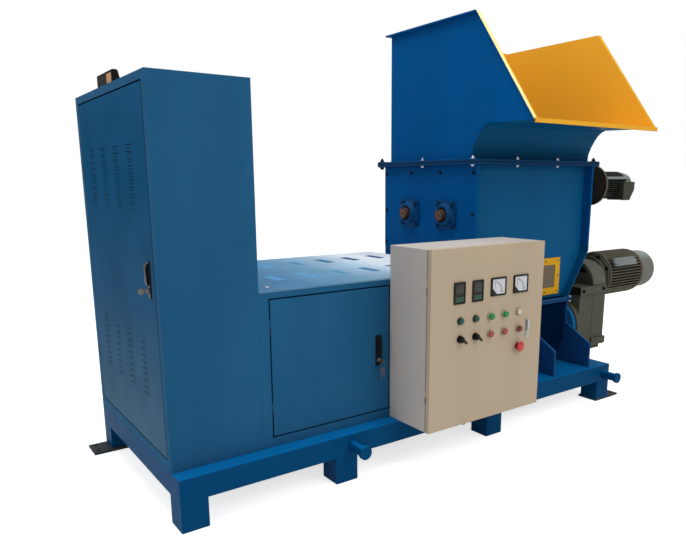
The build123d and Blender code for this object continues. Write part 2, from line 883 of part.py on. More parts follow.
def build():
    os.makedirs("parts", exist_ok=True)
    front, back = rails()
    save("front_rail", front)
    save("back_rail", back)
    save("cross_members", *cross_members())
    save("legs", *legs())
    save("foot_plates", *foot_plates())
    save("lifting_pins", *lifting_pins())
    save("uprights", *uprights())
    save("inner_rail", inner_rail())
    save("deck_plate", deck_plate())
    shell, door = tall_cabinet()
    save("tall_cabinet_shell", shell)
    save("tall_cabinet_door", with_knuckles(door, tall_hinges()))
    save("roof_box", roof_box())
    shell, cover, door = low_cabinet()
    save("low_cabinet_shell", shell)
    save("low_cabinet_top", cover)
    save("low_cabinet_door", with_knuckles(door, low_hinges()))
    tall, low = door_handles()
    save("tall_door_handle", tall)
    save("low_door_handle", low)
    shell, door, plate = control_box()
    save("control_box_shell", shell)
    save("control_box_door", with_knuckles(door, control_hinges()))
    save("mounting_plate", plate)
    save("temperature_controllers", *square_instruments(controller_x, controller_z, controller_size,
                                                        controller_depth))
    save("panel_meters", *square_instruments(meter_x, meter_z, meter_size, meter_depth))
    save("indicator_lamps", *lamps())
    save("push_buttons", *push_buttons())
    save("switch_bases", *switch_bases())
    for name, dx in zip(("selector_left", "selector_right"), selector_x):
        save(name, selector(dx))
    save("stop_button", stop_button())
    save("control_door_handle", control_handle())
    save("door_hinges", *door_hinges())
    left, right = side_plates()
    save("crusher_left_plate", left)
    save("crusher_right_plate", right)
    front, back = front_and_back_plates()
    save("crusher_front_plate", front)
    save("crusher_back_plate", back)
    save("silo_funnel", silo_funnel())
    lower, upper = flanges()
    save("crusher_flange", lower)
    save("hopper_flange", upper)
    save("shaft_bearings", *bearings())
    save("near_shaft", crusher_shaft(near_shaft_y, 0))
    save("far_shaft", crusher_shaft(far_shaft_y, 1))
    frame, glass = window()
    save("window_frame", frame)
    save("window_glass", glass)
    left, right, back, chute = hopper()
    save("hopper_left_wall", left)
    save("hopper_right_wall", right)
    save("hopper_back_wall", back)
    save("hopper_chute", chute)
    save("support_plates", *support_plates())
    save("feed_housing", feed_housing())
    save("throat_flange", throat_flange())
    save("barrel", barrel())
    save("bell_flange", bell_flange())
    save("gear_reducer", reducer())
    save("main_motor", main_motor())
    save("terminal_box", terminal_box())
    save("drive_guard", drive_guard())
    gearbox, motor = crusher_drive()
    save("crusher_gearbox", gearbox)
    save("crusher_motor", motor)
    save("small_terminal_box", small_terminal_box())


build()
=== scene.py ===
"""Looks of the foam hot melting machine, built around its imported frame.

Lengths are written in millimetres from the outer corner of the front left leg, as in the
part's source, and turned into metres in the row's frame when a mesh is made.
"""
import json
import math

import bmesh
import bpy
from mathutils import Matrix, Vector


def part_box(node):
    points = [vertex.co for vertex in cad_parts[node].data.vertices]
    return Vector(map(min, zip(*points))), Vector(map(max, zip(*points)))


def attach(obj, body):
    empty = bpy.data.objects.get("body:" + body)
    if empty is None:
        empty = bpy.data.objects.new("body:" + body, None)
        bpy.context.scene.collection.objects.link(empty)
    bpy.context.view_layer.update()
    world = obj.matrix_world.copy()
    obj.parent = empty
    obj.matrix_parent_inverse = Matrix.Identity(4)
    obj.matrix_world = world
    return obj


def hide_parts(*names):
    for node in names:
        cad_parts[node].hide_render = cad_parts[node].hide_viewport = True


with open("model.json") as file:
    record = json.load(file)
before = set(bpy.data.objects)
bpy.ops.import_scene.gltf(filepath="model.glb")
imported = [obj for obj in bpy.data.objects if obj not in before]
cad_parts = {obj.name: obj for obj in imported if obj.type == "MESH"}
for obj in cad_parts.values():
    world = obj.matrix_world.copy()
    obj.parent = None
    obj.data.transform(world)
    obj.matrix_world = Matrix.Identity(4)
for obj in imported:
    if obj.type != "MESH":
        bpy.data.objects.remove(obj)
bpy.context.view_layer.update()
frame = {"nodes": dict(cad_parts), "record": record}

HALF_LEG = 55
MM = 0.001
WELD = 0.02
SMOOTH_ANGLE = math.radians(35)
HAIR = 0.3

LEFT, RIGHT = (-1, 0, 0), (1, 0, 0)
NEAR, FAR = (0, -1, 0), (0, 1, 0)
DOWN, UP = (0, 0, -1), (0, 0, 1)


# Places and sizes

def place(point):
    """Millimetres from the leg's corner to metres in the row's frame."""
    x, y, z = point
    return Vector((x - HALF_LEG, y - HALF_LEG, z)) * MM


def from_frame(low, high):
    """A box in the row's frame as three spans in millimetres from the leg's corner."""
    shift = (HALF_LEG, HALF_LEG, 0)
    return [(low[i] / MM + shift[i], high[i] / MM + shift[i]) for i in range(3)]


def span(node):
    return from_frame(*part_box(node))


def solids(node):
    """The spans of each separate solid of a node, from low to high and from left to right."""
    mesh = bmesh.new()
    mesh.from_mesh(frame["nodes"][node].data)
    bmesh.ops.remove_doubles(mesh, verts=mesh.verts, dist=WELD * MM)
    left = set(mesh.verts)
    found = []
    while left:
        group = []
        queue = [left.pop()]
        while queue:
            vertex = queue.pop()
            group.append(vertex.co)
            near = {edge.other_vert(vertex) for edge in vertex.link_edges} & left
            left -= near
            queue.extend(near)
        corners = [[pick(point[i] for point in group) for i in range(3)] for pick in (min, max)]
        found.append(from_frame(*corners))
    mesh.free()
    return sorted(found, key=lambda s: (round(s[2][0]), round(s[0][0]), round(s[1][0])))


def middle(pair):
    return (pair[0] + pair[1]) / 2


def length(pair):
    return pair[1] - pair[0]


def grown(pair, gap):
    return (pair[0] - gap, pair[1] + gap)


def about(centre, half):
    return (centre - half, centre + half)


def steps(first, last, count):
    """Evenly spaced values from the first to the last."""
    return [first + (last - first) * i / (count - 1) for i in range(count)]


# Mesh tools

AXES = {"x": 0, "y": 1, "z": 2}


def at(axis, station, u, v):
    """A point at a station along one axis, with u and v along the other two."""
    point = [u, v]
    point.insert(AXES[axis], station)
    return tuple(point)


def loft(mesh, rings, closed=False):
    """A skin through rings with equal counts of points, capped unless its ends join."""
    loops = [[mesh.verts.new(place(point)) for point in ring] for ring in rings]
    following = loops[1:] + loops[:1] if closed else loops[1:]
    for first, second in zip(loops, following):
        for i, vertex in enumerate(first):
            j = (i + 1) % len(first)
            mesh.faces.new((vertex, first[j], second[j], second[i]))
    if not closed:
        mesh.faces.new(loops[0])
        mesh.faces.new(loops[-1])


def sheet(mesh, points):
    mesh.faces.new([mesh.verts.new(place(point)) for point in points])


def box(mesh, x, y, z):
    loft(mesh, [[(x[0], y[0], h), (x[1], y[0], h), (x[1], y[1], h), (x[0], y[1], h)] for h in z])


def prism(mesh, axis, stations, outline):
    """An outline of (u, v) points swept between two stations along an axis."""
    loft(mesh, [[at(axis, s, u, v) for u, v in outline] for s in stations])


def circle(axis, station, centre, radius, sides):
    return [at(axis, station, centre[0] + radius * math.cos(a), centre[1] + radius * math.sin(a))
            for a in (math.tau * i / sides for i in range(sides))]


def turned(mesh, axis, centre, profile, sides):
    """A turned solid; its profile is (station, radius) pairs along the axis."""
    loft(mesh, [circle(axis, station, centre, radius, sides) for station, radius in profile])


def revolved(mesh, axis, centre, section, sides=48):
    """A closed section of (station, radius) points swept round an axis."""
    loft(mesh, [circle(axis, s, centre, r, sides) for s, r in section], closed=True)


def hoop(mesh, axis, centre, stations, inner, outer, sides=32):
    """A flat ring around an axis."""
    near, far = stations
    revolved(mesh, axis, centre, ((near, outer), (far, outer), (far, inner), (near, inner)), sides)


def rounded(u, v, radius, corner_steps=5):
    """The outline of a rectangle with round corners."""
    points = []
    for cu, cv, start in ((u[1] - radius, v[1] - radius, 0), (u[0] + radius, v[1] - radius, 90),
                          (u[0] + radius, v[0] + radius, 180), (u[1] - radius, v[0] + radius, 270)):
        for angle in steps(start, start + 90, corner_steps):
            a = math.radians(angle)
            points.append((cu + radius * math.cos(a), cv + radius * math.sin(a)))
    return points


def inset(u, v, gap, radius):
    """A rounded rectangle that stays a gap inside two spans."""
    return rounded(grown(u, -gap), grown(v, -gap), radius)


def framed(mesh, axis, stations, outer, inner):
    """A flat frame between two outlines with equal counts of points."""
    near, far = stations
    corners = ((near, outer), (far, outer), (far, inner), (near, inner))
    loft(mesh, [[at(axis, s, u, v) for u, v in outline] for s, outline in corners], closed=True)


def stack(mesh, foot, out, profile, sides=18, turn=0.0):
    """A turned piece standing on a point in any direction; its profile is (height, radius) pairs."""
    foot, out = Vector(foot), Vector(out).normalized()
    side = out.orthogonal().normalized()
    other = out.cross(side)
    angles = [turn + math.tau * i / sides for i in range(sides)]
    loft(mesh, [[foot + out * height + (side * math.cos(a) + other * math.sin(a)) * radius for a in angles]
                for height, radius in profile])


def bolt(mesh, foot, out, across):
    """A hexagon head on a washer."""
    washer = 0.14 * across
    head = washer + 0.62 * across
    radius = across / math.sqrt(3)
    stack(mesh, foot, out, ((0, 1.02 * across), (washer, 1.02 * across)), 20)
    stack(mesh, foot, out, ((washer, radius), (head - 0.1 * across, radius), (head, 0.82 * radius)), 6, 0.3)


def nut(mesh, foot, out, across):
    """A nut on a washer with the end of its bolt showing."""
    bolt(mesh, foot, out, across)
    stack(mesh, foot, out, ((0.7 * across, 0.3 * across), (1.06 * across, 0.3 * across),
                            (1.14 * across, 0.24 * across)), 14)


def bolt_circle(mesh, centre, radius, count, turn, out, across):
    """Bolts in a circle round an axis along X."""
    for i in range(count):
        a = turn + math.tau * i / count
        foot = (centre[0], centre[1] + radius * math.cos(a), centre[2] + radius * math.sin(a))
        bolt(mesh, foot, out, across)


def screw(mesh, foot, out, d):
    """A low domed screw head."""
    radius = d / 2
    stack(mesh, foot, out, [(0.55 * radius * math.sin(a), radius * math.cos(a)) for a in steps(0, 1.5, 5)])


HOOD_POINTS = 11
HOOD_ROWS = 6


def swell(t):
    """How full a louvre is, from 1 in its middle to 0 at its ends, where t is -1 and 1."""
    return math.sqrt(max(0.0, 1 - t ** 4))


def hood(mesh, centre, along, up, out, size):
    """A pressed louvre, rounded at its ends and open at its lower edge; size is (width, height, depth)."""
    width, height, depth = size
    centre, along, up, out = (Vector(v) for v in (centre, along, up, out))
    grid = []
    for a in steps(0, math.pi / 2, HOOD_ROWS):
        line = []
        for t in steps(-1, 1, HOOD_POINTS):
            rise = height * math.sin(a) * (0.35 + 0.65 * swell(t))
            reach = depth * math.cos(a) * swell(t)
            point = centre + along * (width / 2 * t) + up * rise + out * reach
            line.append(mesh.verts.new(place(point)))
        grid.append(line)
    for first, second in zip(grid, grid[1:]):
        for i in range(HOOD_POINTS - 1):
            mesh.faces.new((first[i], first[i + 1], second[i + 1], second[i]))


def slot_shade(mesh, centre, along, up, out, size):
    """Painted shade under a louvre, where its opening is: a thin dark face lying on the skin and reaching a
    little below the louvre's lip.
    """
    width, height = size[:2]
    centre, along, up, out = (Vector(v) for v in (centre, along, up, out))
    reach = 0.42 * width
    corners = ((-reach, -0.22), (reach, -0.22), (reach, 0.5), (-reach, 0.5))
    sheet(mesh, [centre + along * a + up * (height * b) + out * HAIR for a, b in corners])


def hood_front(mesh, centre, along, up, out, size):
    """The closed front of a shallow louvre."""
    width, depth = size[::2]
    centre, along, out = (Vector(v) for v in (centre, along, out))
    sheet(mesh, [centre + along * (width / 2 * t) + out * (depth * swell(t) + HAIR)
                 for t in steps(-1, 1, HOOD_POINTS)])


def soften(item, width):
    soft = item.modifiers.new("soft edges", "BEVEL")
    soft.width = width * MM
    soft.segments = 2
    soft.limit_method = "ANGLE"
    soft.angle_limit = SMOOTH_ANGLE
    soft.harden_normals = True


def linked(name, data):
    """A new object in the scene."""
    item = bpy.data.objects.new(name, data)
    bpy.context.scene.collection.objects.link(item)
    return item


def shown(name, mesh, material):
    """A new object with a filled mesh and one material."""
    data = bpy.data.meshes.new(name)
    mesh.to_mesh(data)
    mesh.free()
    data.materials.append(material)
    return linked(name, data)


def piece(name, fill, material, body="machine", bevel=0.0, replaces=None):
    """An object whose mesh a function fills, riding on a body."""
    mesh = bmesh.new()
    fill(mesh)
    bmesh.ops.recalc_face_normals(mesh, faces=mesh.faces)
    for face in mesh.faces:
        face.smooth = True
    for edge in mesh.edges:
        if len(edge.link_faces) == 2 and edge.calc_face_angle(0) > SMOOTH_ANGLE:
            edge.smooth = False
    item = shown(name, mesh, material)
    if bevel:
        soften(item, bevel)
    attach(item, body)
    if replaces:
        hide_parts(replaces)


def made(material, body="machine", bevel=0.0, replaces=None):
    """Makes a piece with the function below, which fills its mesh and gives it its name."""
    def maker(fill):
        piece(fill.__name__, fill, material, body, bevel, replaces)
        return fill
    return maker


# Materials

class Nodes:
    """Short ways to add the usual nodes to a material or a world."""

    def __init__(self, tree):
        self.tree = tree

    def feed(self, node, inputs):
        """Sets a node's inputs; each is a number, a colour or a socket that leads into it."""
        for name, value in inputs.items():
            socket = next(s for s in node.inputs if s.name == name and s.enabled)
            if isinstance(value, bpy.types.NodeSocket):
                self.tree.links.new(value, socket)
            else:
                socket.default_value = (*value, 1) if socket.type == "RGBA" else value

    def add(self, kind, inputs, **settings):
        node = self.tree.nodes.new("ShaderNode" + kind)
        for name, value in settings.items():
            setattr(node, name, value)
        self.feed(node, inputs)
        return node

    def noise(self, scale, stretch=(1, 1, 1), detail=4.0):
        """Noise in object coordinates, in cycles per metre."""
        coords = self.add("TexCoord", {}).outputs["Object"]
        mapping = self.add("Mapping", {"Vector": coords, "Scale": stretch})
        inputs = {"Vector": mapping.outputs["Vector"], "Scale": scale, "Detail": detail}
        return self.add("TexNoise", inputs).outputs["Fac"]

    def ramp(self, value, stops):
        """A colour ramp; stops are (position, colour)."""
        node = self.add("ValToRGB", {"Fac": value})
        elements = node.color_ramp.elements
        while len(elements) < len(stops):
            elements.new(0.5)
        for element, (position, colour) in zip(elements, stops):
            element.position = position
            element.color = (*colour, 1)
        return node.outputs["Color"]

    def grey_ramp(self, value, *stops):
        """A ramp between greys; stops are (position, level)."""
        return self.ramp(value, [(position, (level,) * 3) for position, level in stops])

    def between(self, value, low, high):
        """A value from 0 to 1 spread between two limits."""
        return self.add("MapRange", {"Value": value, "To Min": low, "To Max": high}).outputs["Result"]

    def mixed(self, share, first, second, blend="MIX"):
        """Two colours, each a socket or a triple, mixed by a socket or a number."""
        inputs = {"Factor": share, "A": first, "B": second}
        node = self.add("Mix", inputs, data_type="RGBA", blend_type=blend)
        return next(s for s in node.outputs if s.enabled)

    def part(self, vector, axis):
        return self.add("SeparateXYZ", {"Vector": vector}).outputs[axis]


class Look(Nodes):
    """A material that is being made."""

    def __init__(self, name):
        self.material = bpy.data.materials.new(name)
        self.material.use_nodes = True
        super().__init__(self.material.node_tree)
        self.shader = next(n for n in self.tree.nodes if n.type == "BSDF_PRINCIPLED")

    def done(self, inputs, height, strength, distance):
        """The material, with its shader fed and bumped."""
        bump = self.add("Bump", {"Height": height, "Strength": strength, "Distance": distance})
        self.feed(self.shader, {**inputs, "Normal": bump.outputs["Normal"]})
        return self.material


def shade(colour, factor):
    return tuple(min(1.0, c * factor) for c in colour)


def linear(display):
    """Display values from 0 to 255 as linear ones."""
    shares = [value / 255 for value in display]
    return tuple(c / 12.92 if c <= 0.04045 else ((c + 0.055) / 1.055) ** 2.4 for c in shares)


def paint(name, display, rough=(0.44, 0.58), cloud=0.12, streak=0.06, peel=0.25, peel_scale=260,
          specular=0.06, dust=0.03, top=None):
    """Sprayed paint: soft clouds, faint vertical streaks, dust in patches and orange peel. Where a top
    colour is given, the faces that look up carry it, a painted highlight of the light from above."""
    look, colour = Look(name), linear(display)
    base = look.mixed(look.noise(1.7, detail=3), shade(colour, 1 - cloud), shade(colour, 1 + cloud))
    tone = look.grey_ramp(look.noise(5, (1, 1, 0.12), 5), (0.35, 1 - streak), (0.65, 1 + streak))
    toned = look.mixed(1.0, base, tone, "MULTIPLY")
    patches = look.noise(9, detail=6)
    pale = tuple(0.75 * c + 0.09 for c in colour)
    finish = look.mixed(look.grey_ramp(patches, (0.45, 0), (0.8, dust)), toned, pale)
    # The top colour is painted light: faces that look up are made lighter.
    if top:
        up = look.part(look.add("NewGeometry", {}).outputs["Normal"], "Z")
        finish = look.mixed(look.grey_ramp(up, (0.6, 0), (0.9, 1)), finish, linear(top))
    inputs = {"Base Color": finish, "Roughness": look.between(patches, *rough),
              "Specular IOR Level": specular}
    return look.done(inputs, look.noise(peel_scale, detail=2), peel, 0.0004)


def sheen_gradient_paint(name, stops, axis="X"):
    """Blue paint whose colour changes along an axis as a painted highlight and reflection of the white
    surroundings; stops are (metres, display colour).
    """
    look = Look(name)
    first, last = stops[0][0], stops[-1][0]
    where = look.part(look.add("TexCoord", {}).outputs["Object"], axis)
    run = look.add("MapRange", {"Value": where, "From Min": first, "From Max": last})
    painted_sheen = look.ramp(run.outputs["Result"],
                     [((metres - first) / (last - first), linear(colour)) for metres, colour in stops])
    patches = look.noise(5, detail=6)
    tone = look.grey_ramp(patches, (0.35, 0.92), (0.65, 1.06))
    inputs = {"Base Color": look.mixed(1.0, painted_sheen, tone, "MULTIPLY"),
              "Roughness": look.between(patches, 0.28, 0.42), "Specular IOR Level": 0.0}
    return look.done(inputs, look.noise(260, detail=2), 0.25, 0.0004)


def metal(name, colour, rough=(0.3, 0.5), scale=90, rust=0.0, rust_colour=(0.16, 0.06, 0.03)):
    """Bare metal with a fine grain and, where asked, rust in patches; its colours are linear."""
    look = Look(name)
    fine = look.noise(scale, detail=6)
    inputs = {"Base Color": look.mixed(fine, shade(colour, 0.8), shade(colour, 1.15)),
              "Metallic": 1.0, "Roughness": look.between(fine, *rough)}
    if rust:
        spread = look.grey_ramp(look.noise(30, detail=7), (0.62 - 0.35 * rust, 0), (0.75 - 0.25 * rust, 1))
        inputs["Base Color"] = look.mixed(spread, inputs["Base Color"], rust_colour)
        inputs["Metallic"] = look.between(spread, 1.0, 0.25)
    return look.done(inputs, fine, 0.15, 0.0003)


def plastic(name, display, rough=(0.3, 0.45), grain=420, bump=0.12, coat=0.0, specular=0.4):
    """Moulded plastic with a fine grain."""
    look, colour = Look(name), linear(display)
    clouds = look.noise(60, detail=3)
    inputs = {"Base Color": look.mixed(clouds, shade(colour, 0.88), shade(colour, 1.12)),
              "Roughness": look.between(clouds, *rough), "Specular IOR Level": specular, "Coat Weight": coat}
    return look.done(inputs, look.noise(grain, detail=2), bump, 0.0002)


cabinet_blue = paint("cabinet blue", (32, 87, 125), (0.6, 0.72), specular=0.03)
machine_blue = paint("machine blue", (0, 80, 140), cloud=0.1, specular=0.02, dust=0.02)
silo_blue = paint("silo blue", (4, 82, 128), (0.46, 0.6))
chute_blue = paint("chute blue", (6, 80, 120), (0.46, 0.6), specular=0.03)
# support blue: its top colour is a painted highlight on upward faces.
support_blue = paint("support blue", (14, 66, 118), (0.46, 0.6), top=(40, 96, 150))
# feed blue is the machine's blue darkened almost to black: painted shade on the feed housing, which stands
# in shadow.
feed_shade_blue = paint("feed shade blue", (0, 24, 50), (0.6, 0.7), dust=0.0, specular=0.0)
flange_blue = paint("flange blue", (0, 58, 100), (0.46, 0.6))
bolt_blue = paint("painted bolts", (4, 34, 58), (0.4, 0.5))
# frame blue: its top colour is a painted highlight on upward faces, such as the rail's top.
frame_blue = paint("frame blue", (0, 66, 110), specular=0.03, dust=0.02, top=(8, 104, 166))
bell_blue = paint("bell blue", (14, 94, 144))
# The bell rim blue is a lighter copy of the bell's blue: a painted highlight on the flange's edge.
rim_highlight_blue = paint("bell rim blue", (20, 122, 186))
housing_blue = paint("bearing blue", (6, 70, 118), cloud=0.3, dust=0.1)
housing_bolt = paint("bearing bolt blue", (4, 54, 92))
seam_blue = paint("flange joint", (4, 24, 44), dust=0.0)
hinge_dark = paint("hinge dark", (34, 46, 58))
hopper_yellow = paint("hopper yellow", (228, 166, 46), cloud=0.04, streak=0.015)
window_yellow = paint("window yellow", (212, 158, 34), cloud=0.06, dust=0.04)
worn_yellow = paint("worn yellow screws", (140, 104, 34), cloud=0.1)
# The cream is the yellow edge paint lightened: a painted highlight on the left wall's sloping edge.
edge_highlight_cream = paint("yellow edge with painted highlight", (240, 214, 140), cloud=0.1)
box_beige = paint("box beige", (180, 162, 138), (0.5, 0.62), 0.05, 0.02, 0.5, 420, 0.2)
shell_beige = paint("box side beige", (184, 176, 168), (0.5, 0.62), 0.05, 0.02, 0.5, 420, 0.1)
insert_tan = paint("connector insert", (206, 158, 110), (0.5, 0.6))
drive_olive = paint("drive grey green", (76, 77, 66), dust=0.2)
# fin grey brown is a lighter copy of the drive's paint: a painted highlight on the main motor's fins and
# back shield.
fin_brown = paint("fin grey brown", (98, 94, 80), dust=0.2)
# cowl grey: its top colour is a painted highlight on upward faces.
cowl_grey = paint("cowl grey", (112, 116, 108), cloud=0.08, dust=0.2, top=(150, 158, 158))
lid_grey = paint("lid grey", (80, 84, 76), cloud=0.1, dust=0.2)
pale_lid = paint("pale lid", (126, 132, 132), cloud=0.08, dust=0.1)
flange_grey = paint("flange grey", (84, 85, 72), cloud=0.08, dust=0.1)
shield_grey = paint("shield grey", (100, 98, 90), cloud=0.1, dust=0.2)
# crown grey is lighter than the drive's paint: a painted highlight on the crown, besides its dust.
crown_grey = paint("crown grey", (92, 95, 86), cloud=0.1, dust=0.2)
# The shaded barrel colour is painted shade in the gaps between the fins.
barrel_shade = paint("shaded barrel", (26, 25, 20), cloud=0.1, dust=0.05, specular=0.02)
# small drive grey: its top colour is a painted highlight, lighter on top of the barrel.
small_grey = paint("small drive grey", (46, 48, 40), dust=0.12, top=(80, 84, 68))
small_lid_grey = paint("small lid grey", (60, 63, 53), dust=0.15)
gearbox_black = paint("gearbox black", (26, 25, 23), (0.6, 0.7), cloud=0.2, dust=0.02, specular=0.0)
foot_grey = paint("foot plate grey", (60, 64, 68), (0.5, 0.65), cloud=0.2, dust=0.2)
# Painted reflections and highlights: the cover lighter towards the right, its louvres light at the left and
# dark at the right, the tall door lighter near the bottom and a little lighter again at the top.
cover_blue = sheen_gradient_paint("cover blue", ((0.6, (90, 130, 163)), (0.85, (108, 146, 172)),
                                   (1.1, (160, 184, 202)), (1.3, (218, 224, 230))))
louvre_blue = sheen_gradient_paint("cover louvre blue", ((0.6, (136, 206, 252)), (0.85, (128, 188, 226)),
                                           (1.1, (60, 130, 170)), (1.3, (10, 84, 130))))
door_blue = sheen_gradient_paint("tall door blue", ((0.3, (80, 109, 132)), (0.8, (50, 91, 125)),
                                      (1.3, (28, 83, 121)), (2.0, (42, 93, 132))), "Z")
steel = metal("bare steel", (0.42, 0.41, 0.39), rust=0.25)
bright = metal("bright metal", (0.66, 0.66, 0.64), (0.2, 0.34))
zinc = metal("zinc fasteners", (0.42, 0.44, 0.48), (0.25, 0.4), 300)
brass = metal("key brass", (0.2, 0.17, 0.12), (0.4, 0.55), 300)
handle_metal = metal("handle metal", (0.36, 0.36, 0.35), (0.42, 0.56), 300)
lock_metal = metal("lock metal", (0.15, 0.14, 0.14), (0.42, 0.56), 300)
rusty = metal("rusty shaft", (0.075, 0.045, 0.032), (0.5, 0.7), rust=0.6, rust_colour=(0.04, 0.02, 0.013))
rust_face = metal("rusty shaft face", (0.16, 0.08, 0.05), (0.5, 0.7), rust=0.6,
                  rust_colour=(0.09, 0.036, 0.02))
black = plastic("black plastic", (15, 15, 15), specular=0.15)
rubber = plastic("black rubber", (12, 12, 12), (0.6, 0.75), specular=0.1)
# The louvre opening colour is painted shade.
slot_shade_dark = plastic("louvre opening shade", (6, 22, 40), (0.7, 0.8), specular=0.05)
display_dark = plastic("display face", (34, 32, 28), (0.3, 0.4), specular=0.15)
display_green = plastic("display digits green", (52, 96, 76), (0.3, 0.4), specular=0.15)
window_black = plastic("controller window", (16, 16, 16), (0.1, 0.2))
dial_white = plastic("dial white", (196, 198, 204), (0.3, 0.4), grain=900, bump=0.03)
lamp_green = plastic("lamp dark green", (6, 66, 52), (0.12, 0.2), coat=0.15, specular=0.2)
button_green = plastic("button green", (30, 128, 58), (0.15, 0.25), coat=0.1, specular=0.2)
button_white = plastic("button white", (194, 186, 170), (0.2, 0.3), coat=0.1)
button_red = plastic("button red", (150, 70, 56), (0.15, 0.25), coat=0.1, specular=0.2)
alarm_red = plastic("button dark red", (104, 34, 30), (0.15, 0.25), coat=0.1, specular=0.2)
stop_red = plastic("stop red", (182, 40, 30), (0.22, 0.32), coat=0.15, specular=0.25)
sleeve_pink = plastic("stop sleeve", (170, 126, 110), (0.3, 0.4))
ring_grey = plastic("button ring", (146, 136, 118), (0.3, 0.4), specular=0.2)
glass = plastic("dusty glass", (98, 84, 62), (0.25, 0.4), grain=40, bump=0.02, coat=0.1, specular=0.2)

BY_SLOT = {
    "blue_paint": cabinet_blue, "deep_blue_paint": machine_blue, "yellow_paint": machine_blue,
    "beige_paint": box_beige, "olive_paint": drive_olive, "grey_paint": small_grey,
    "bare_steel": steel, "bright_steel": bright, "black_plastic": black, "green_lens": button_green,
    "red_plastic": stop_red, "window_glass": glass,
}
FRAME_NODES = ("front_rail", "back_rail", "legs", "cross_members", "inner_rail", "lifting_pins",
               "deck_plate")
BY_NODE = {
    **dict.fromkeys(FRAME_NODES, frame_blue), "tall_cabinet_door": door_blue, "low_cabinet_top": cover_blue,
    "silo_funnel": silo_blue, "crusher_front_plate": silo_blue, "hopper_chute": chute_blue,
    "support_plates": support_blue, "throat_flange": support_blue, "feed_housing": feed_shade_blue,
    "crusher_flange": flange_blue, "hopper_flange": flange_blue, "bell_flange": bell_blue,
    "control_box_shell": shell_beige, "mounting_plate": bright, "switch_bases": black,
    "window_frame": window_yellow, "crusher_gearbox": gearbox_black, "foot_plates": foot_grey,
    "near_shaft": rusty, "far_shaft": rusty, "terminal_box": lid_grey, "door_hinges": hinge_dark,
}


def dress(node, material, bevel=1.5):
    """A CAD node with a material and softened edges."""
    item = frame["nodes"][node]
    item.data.materials.clear()
    item.data.materials.append(material)
    weld = item.modifiers.new("weld", "WELD")
    weld.merge_threshold = WELD * MM
    soften(item, bevel)


for part in frame["record"]["subparts"]:
    dress(part["node"], BY_NODE.get(part["node"], BY_SLOT[part["material_slot"]]))


# Cabinets

TALL_DOOR_FACE = 0
LOUVRE = (72, 12, 6.5)
LOUVRE_ROWS = 10
LOUVRE_PITCH = 25.7
TALL_LOUVRE_Y = (188, 731)
TALL_LOUVRE_Z = (936, 202)
COVER_LOUVRE = (52, 12, 3)
COVER_LOUVRE_X = (51, 1071)
COVER_LOUVRE_Y = (274, 688)
COVER_LOUVRE_COUNT = 6
COVER_LOUVRE_PITCH = 25
COVER_SCREW = (465, 158)


def tall_louvres(shape):
    """Both groups of pressed louvres in the tall door, made with one shape function."""
    def fill(mesh):
        y, z = span("tall_cabinet_door")[1:]
        for column in steps(y[0] + TALL_LOUVRE_Y[0], y[0] + TALL_LOUVRE_Y[1], 4):
            for start in TALL_LOUVRE_Z:
                for row in range(LOUVRE_ROWS):
                    foot = (TALL_DOOR_FACE, column, z[0] + start + row * LOUVRE_PITCH)
                    shape(mesh, foot, FAR, UP, LEFT, LOUVRE)
    return fill


def cover_louvres(shape):
    """The louvres in the low cabinet's cover, open towards the operator."""
    def fill(mesh):
        x, y, z = span("low_cabinet_top")
        for column in steps(x[0] + COVER_LOUVRE_X[0], x[0] + COVER_LOUVRE_X[1], 7):
            for row in COVER_LOUVRE_Y:
                for i in range(COVER_LOUVRE_COUNT):
                    offset = (i - (COVER_LOUVRE_COUNT - 1) / 2) * COVER_LOUVRE_PITCH
                    shape(mesh, (column, y[0] + row + offset, z[1]), RIGHT, FAR, UP, COVER_LOUVRE)
    return fill


piece("tall_door_louvres", tall_louvres(hood), door_blue, "tall_door")
# The tall door's louvres have dark sheets of painted shade under them.
piece("tall_door_louvre_shade", tall_louvres(slot_shade), slot_shade_dark, "tall_door")
# The cover's louvres and their closed fronts carry a painted highlight, light at the left and dark at the
# right.
piece("cover_louvres", cover_louvres(hood), louvre_blue)
piece("cover_louvre_fronts", cover_louvres(hood_front), louvre_blue)


@made(dial_white)
def cover_screw(mesh):
    screw(mesh, (*COVER_SCREW, span("low_cabinet_top")[2][1]), UP, 16)


LOCK_RISE = 27
KEY_REACH = 34
KEY_BOW = 11


def swing_handle(node, axis, body):
    """A black lever handle with its lock and key, standing out from a cabinet door."""
    spans = span(node)
    front, skin = spans[AXES[axis]]
    other = "y" if axis == "x" else "x"
    u, z = spans[AXES[other]], spans[2]
    across = middle(u)
    lock_z = z[0] + LOCK_RISE

    def lever(mesh):
        prism(mesh, axis, (skin, skin - 6), rounded(u, z, 4))
        side = ((skin - 5, z[1] - 8), (front + 12, z[1] - 10), (front + 6, z[1] - 24),
                (front + 8, lock_z + 28), (front + 12, lock_z + 20), (skin - 5, lock_z + 20))
        loft(mesh, [[at(axis, s, w, h) for s, h in side] for w in about(across, 10.5)])

    def lock(mesh):
        stack(mesh, at(axis, skin - 6, across, lock_z), at(axis, -1, 0, 0),
              ((0, 10), (4, 10), (5, 9), (5, 7.5), (8, 7.5), (8.5, 6.5)), 24)

    def key(mesh):
        hoop(mesh, other, (skin - KEY_REACH, lock_z), about(across, 1.2), 3.6, KEY_BOW, 24)
        shank, tip = skin - 14, skin - 25
        blade = ((shank, lock_z - 3), (tip, lock_z - 3), (tip, lock_z + 3), (shank, lock_z + 3))
        loft(mesh, [[at(axis, s, w, h) for s, h in blade] for w in about(across, 1.1)])

    piece(node + "_lever", lever, black, body, 1.2, node)
    piece(node + "_lock", lock, lock_metal, body, 0.4)
    piece(node + "_key", key, brass, body, 0.4)
    return across, skin, lock_z


swing_handle("tall_door_handle", "x", "tall_door")
key_x, key_skin, key_z = swing_handle("low_door_handle", "y", "low_door")


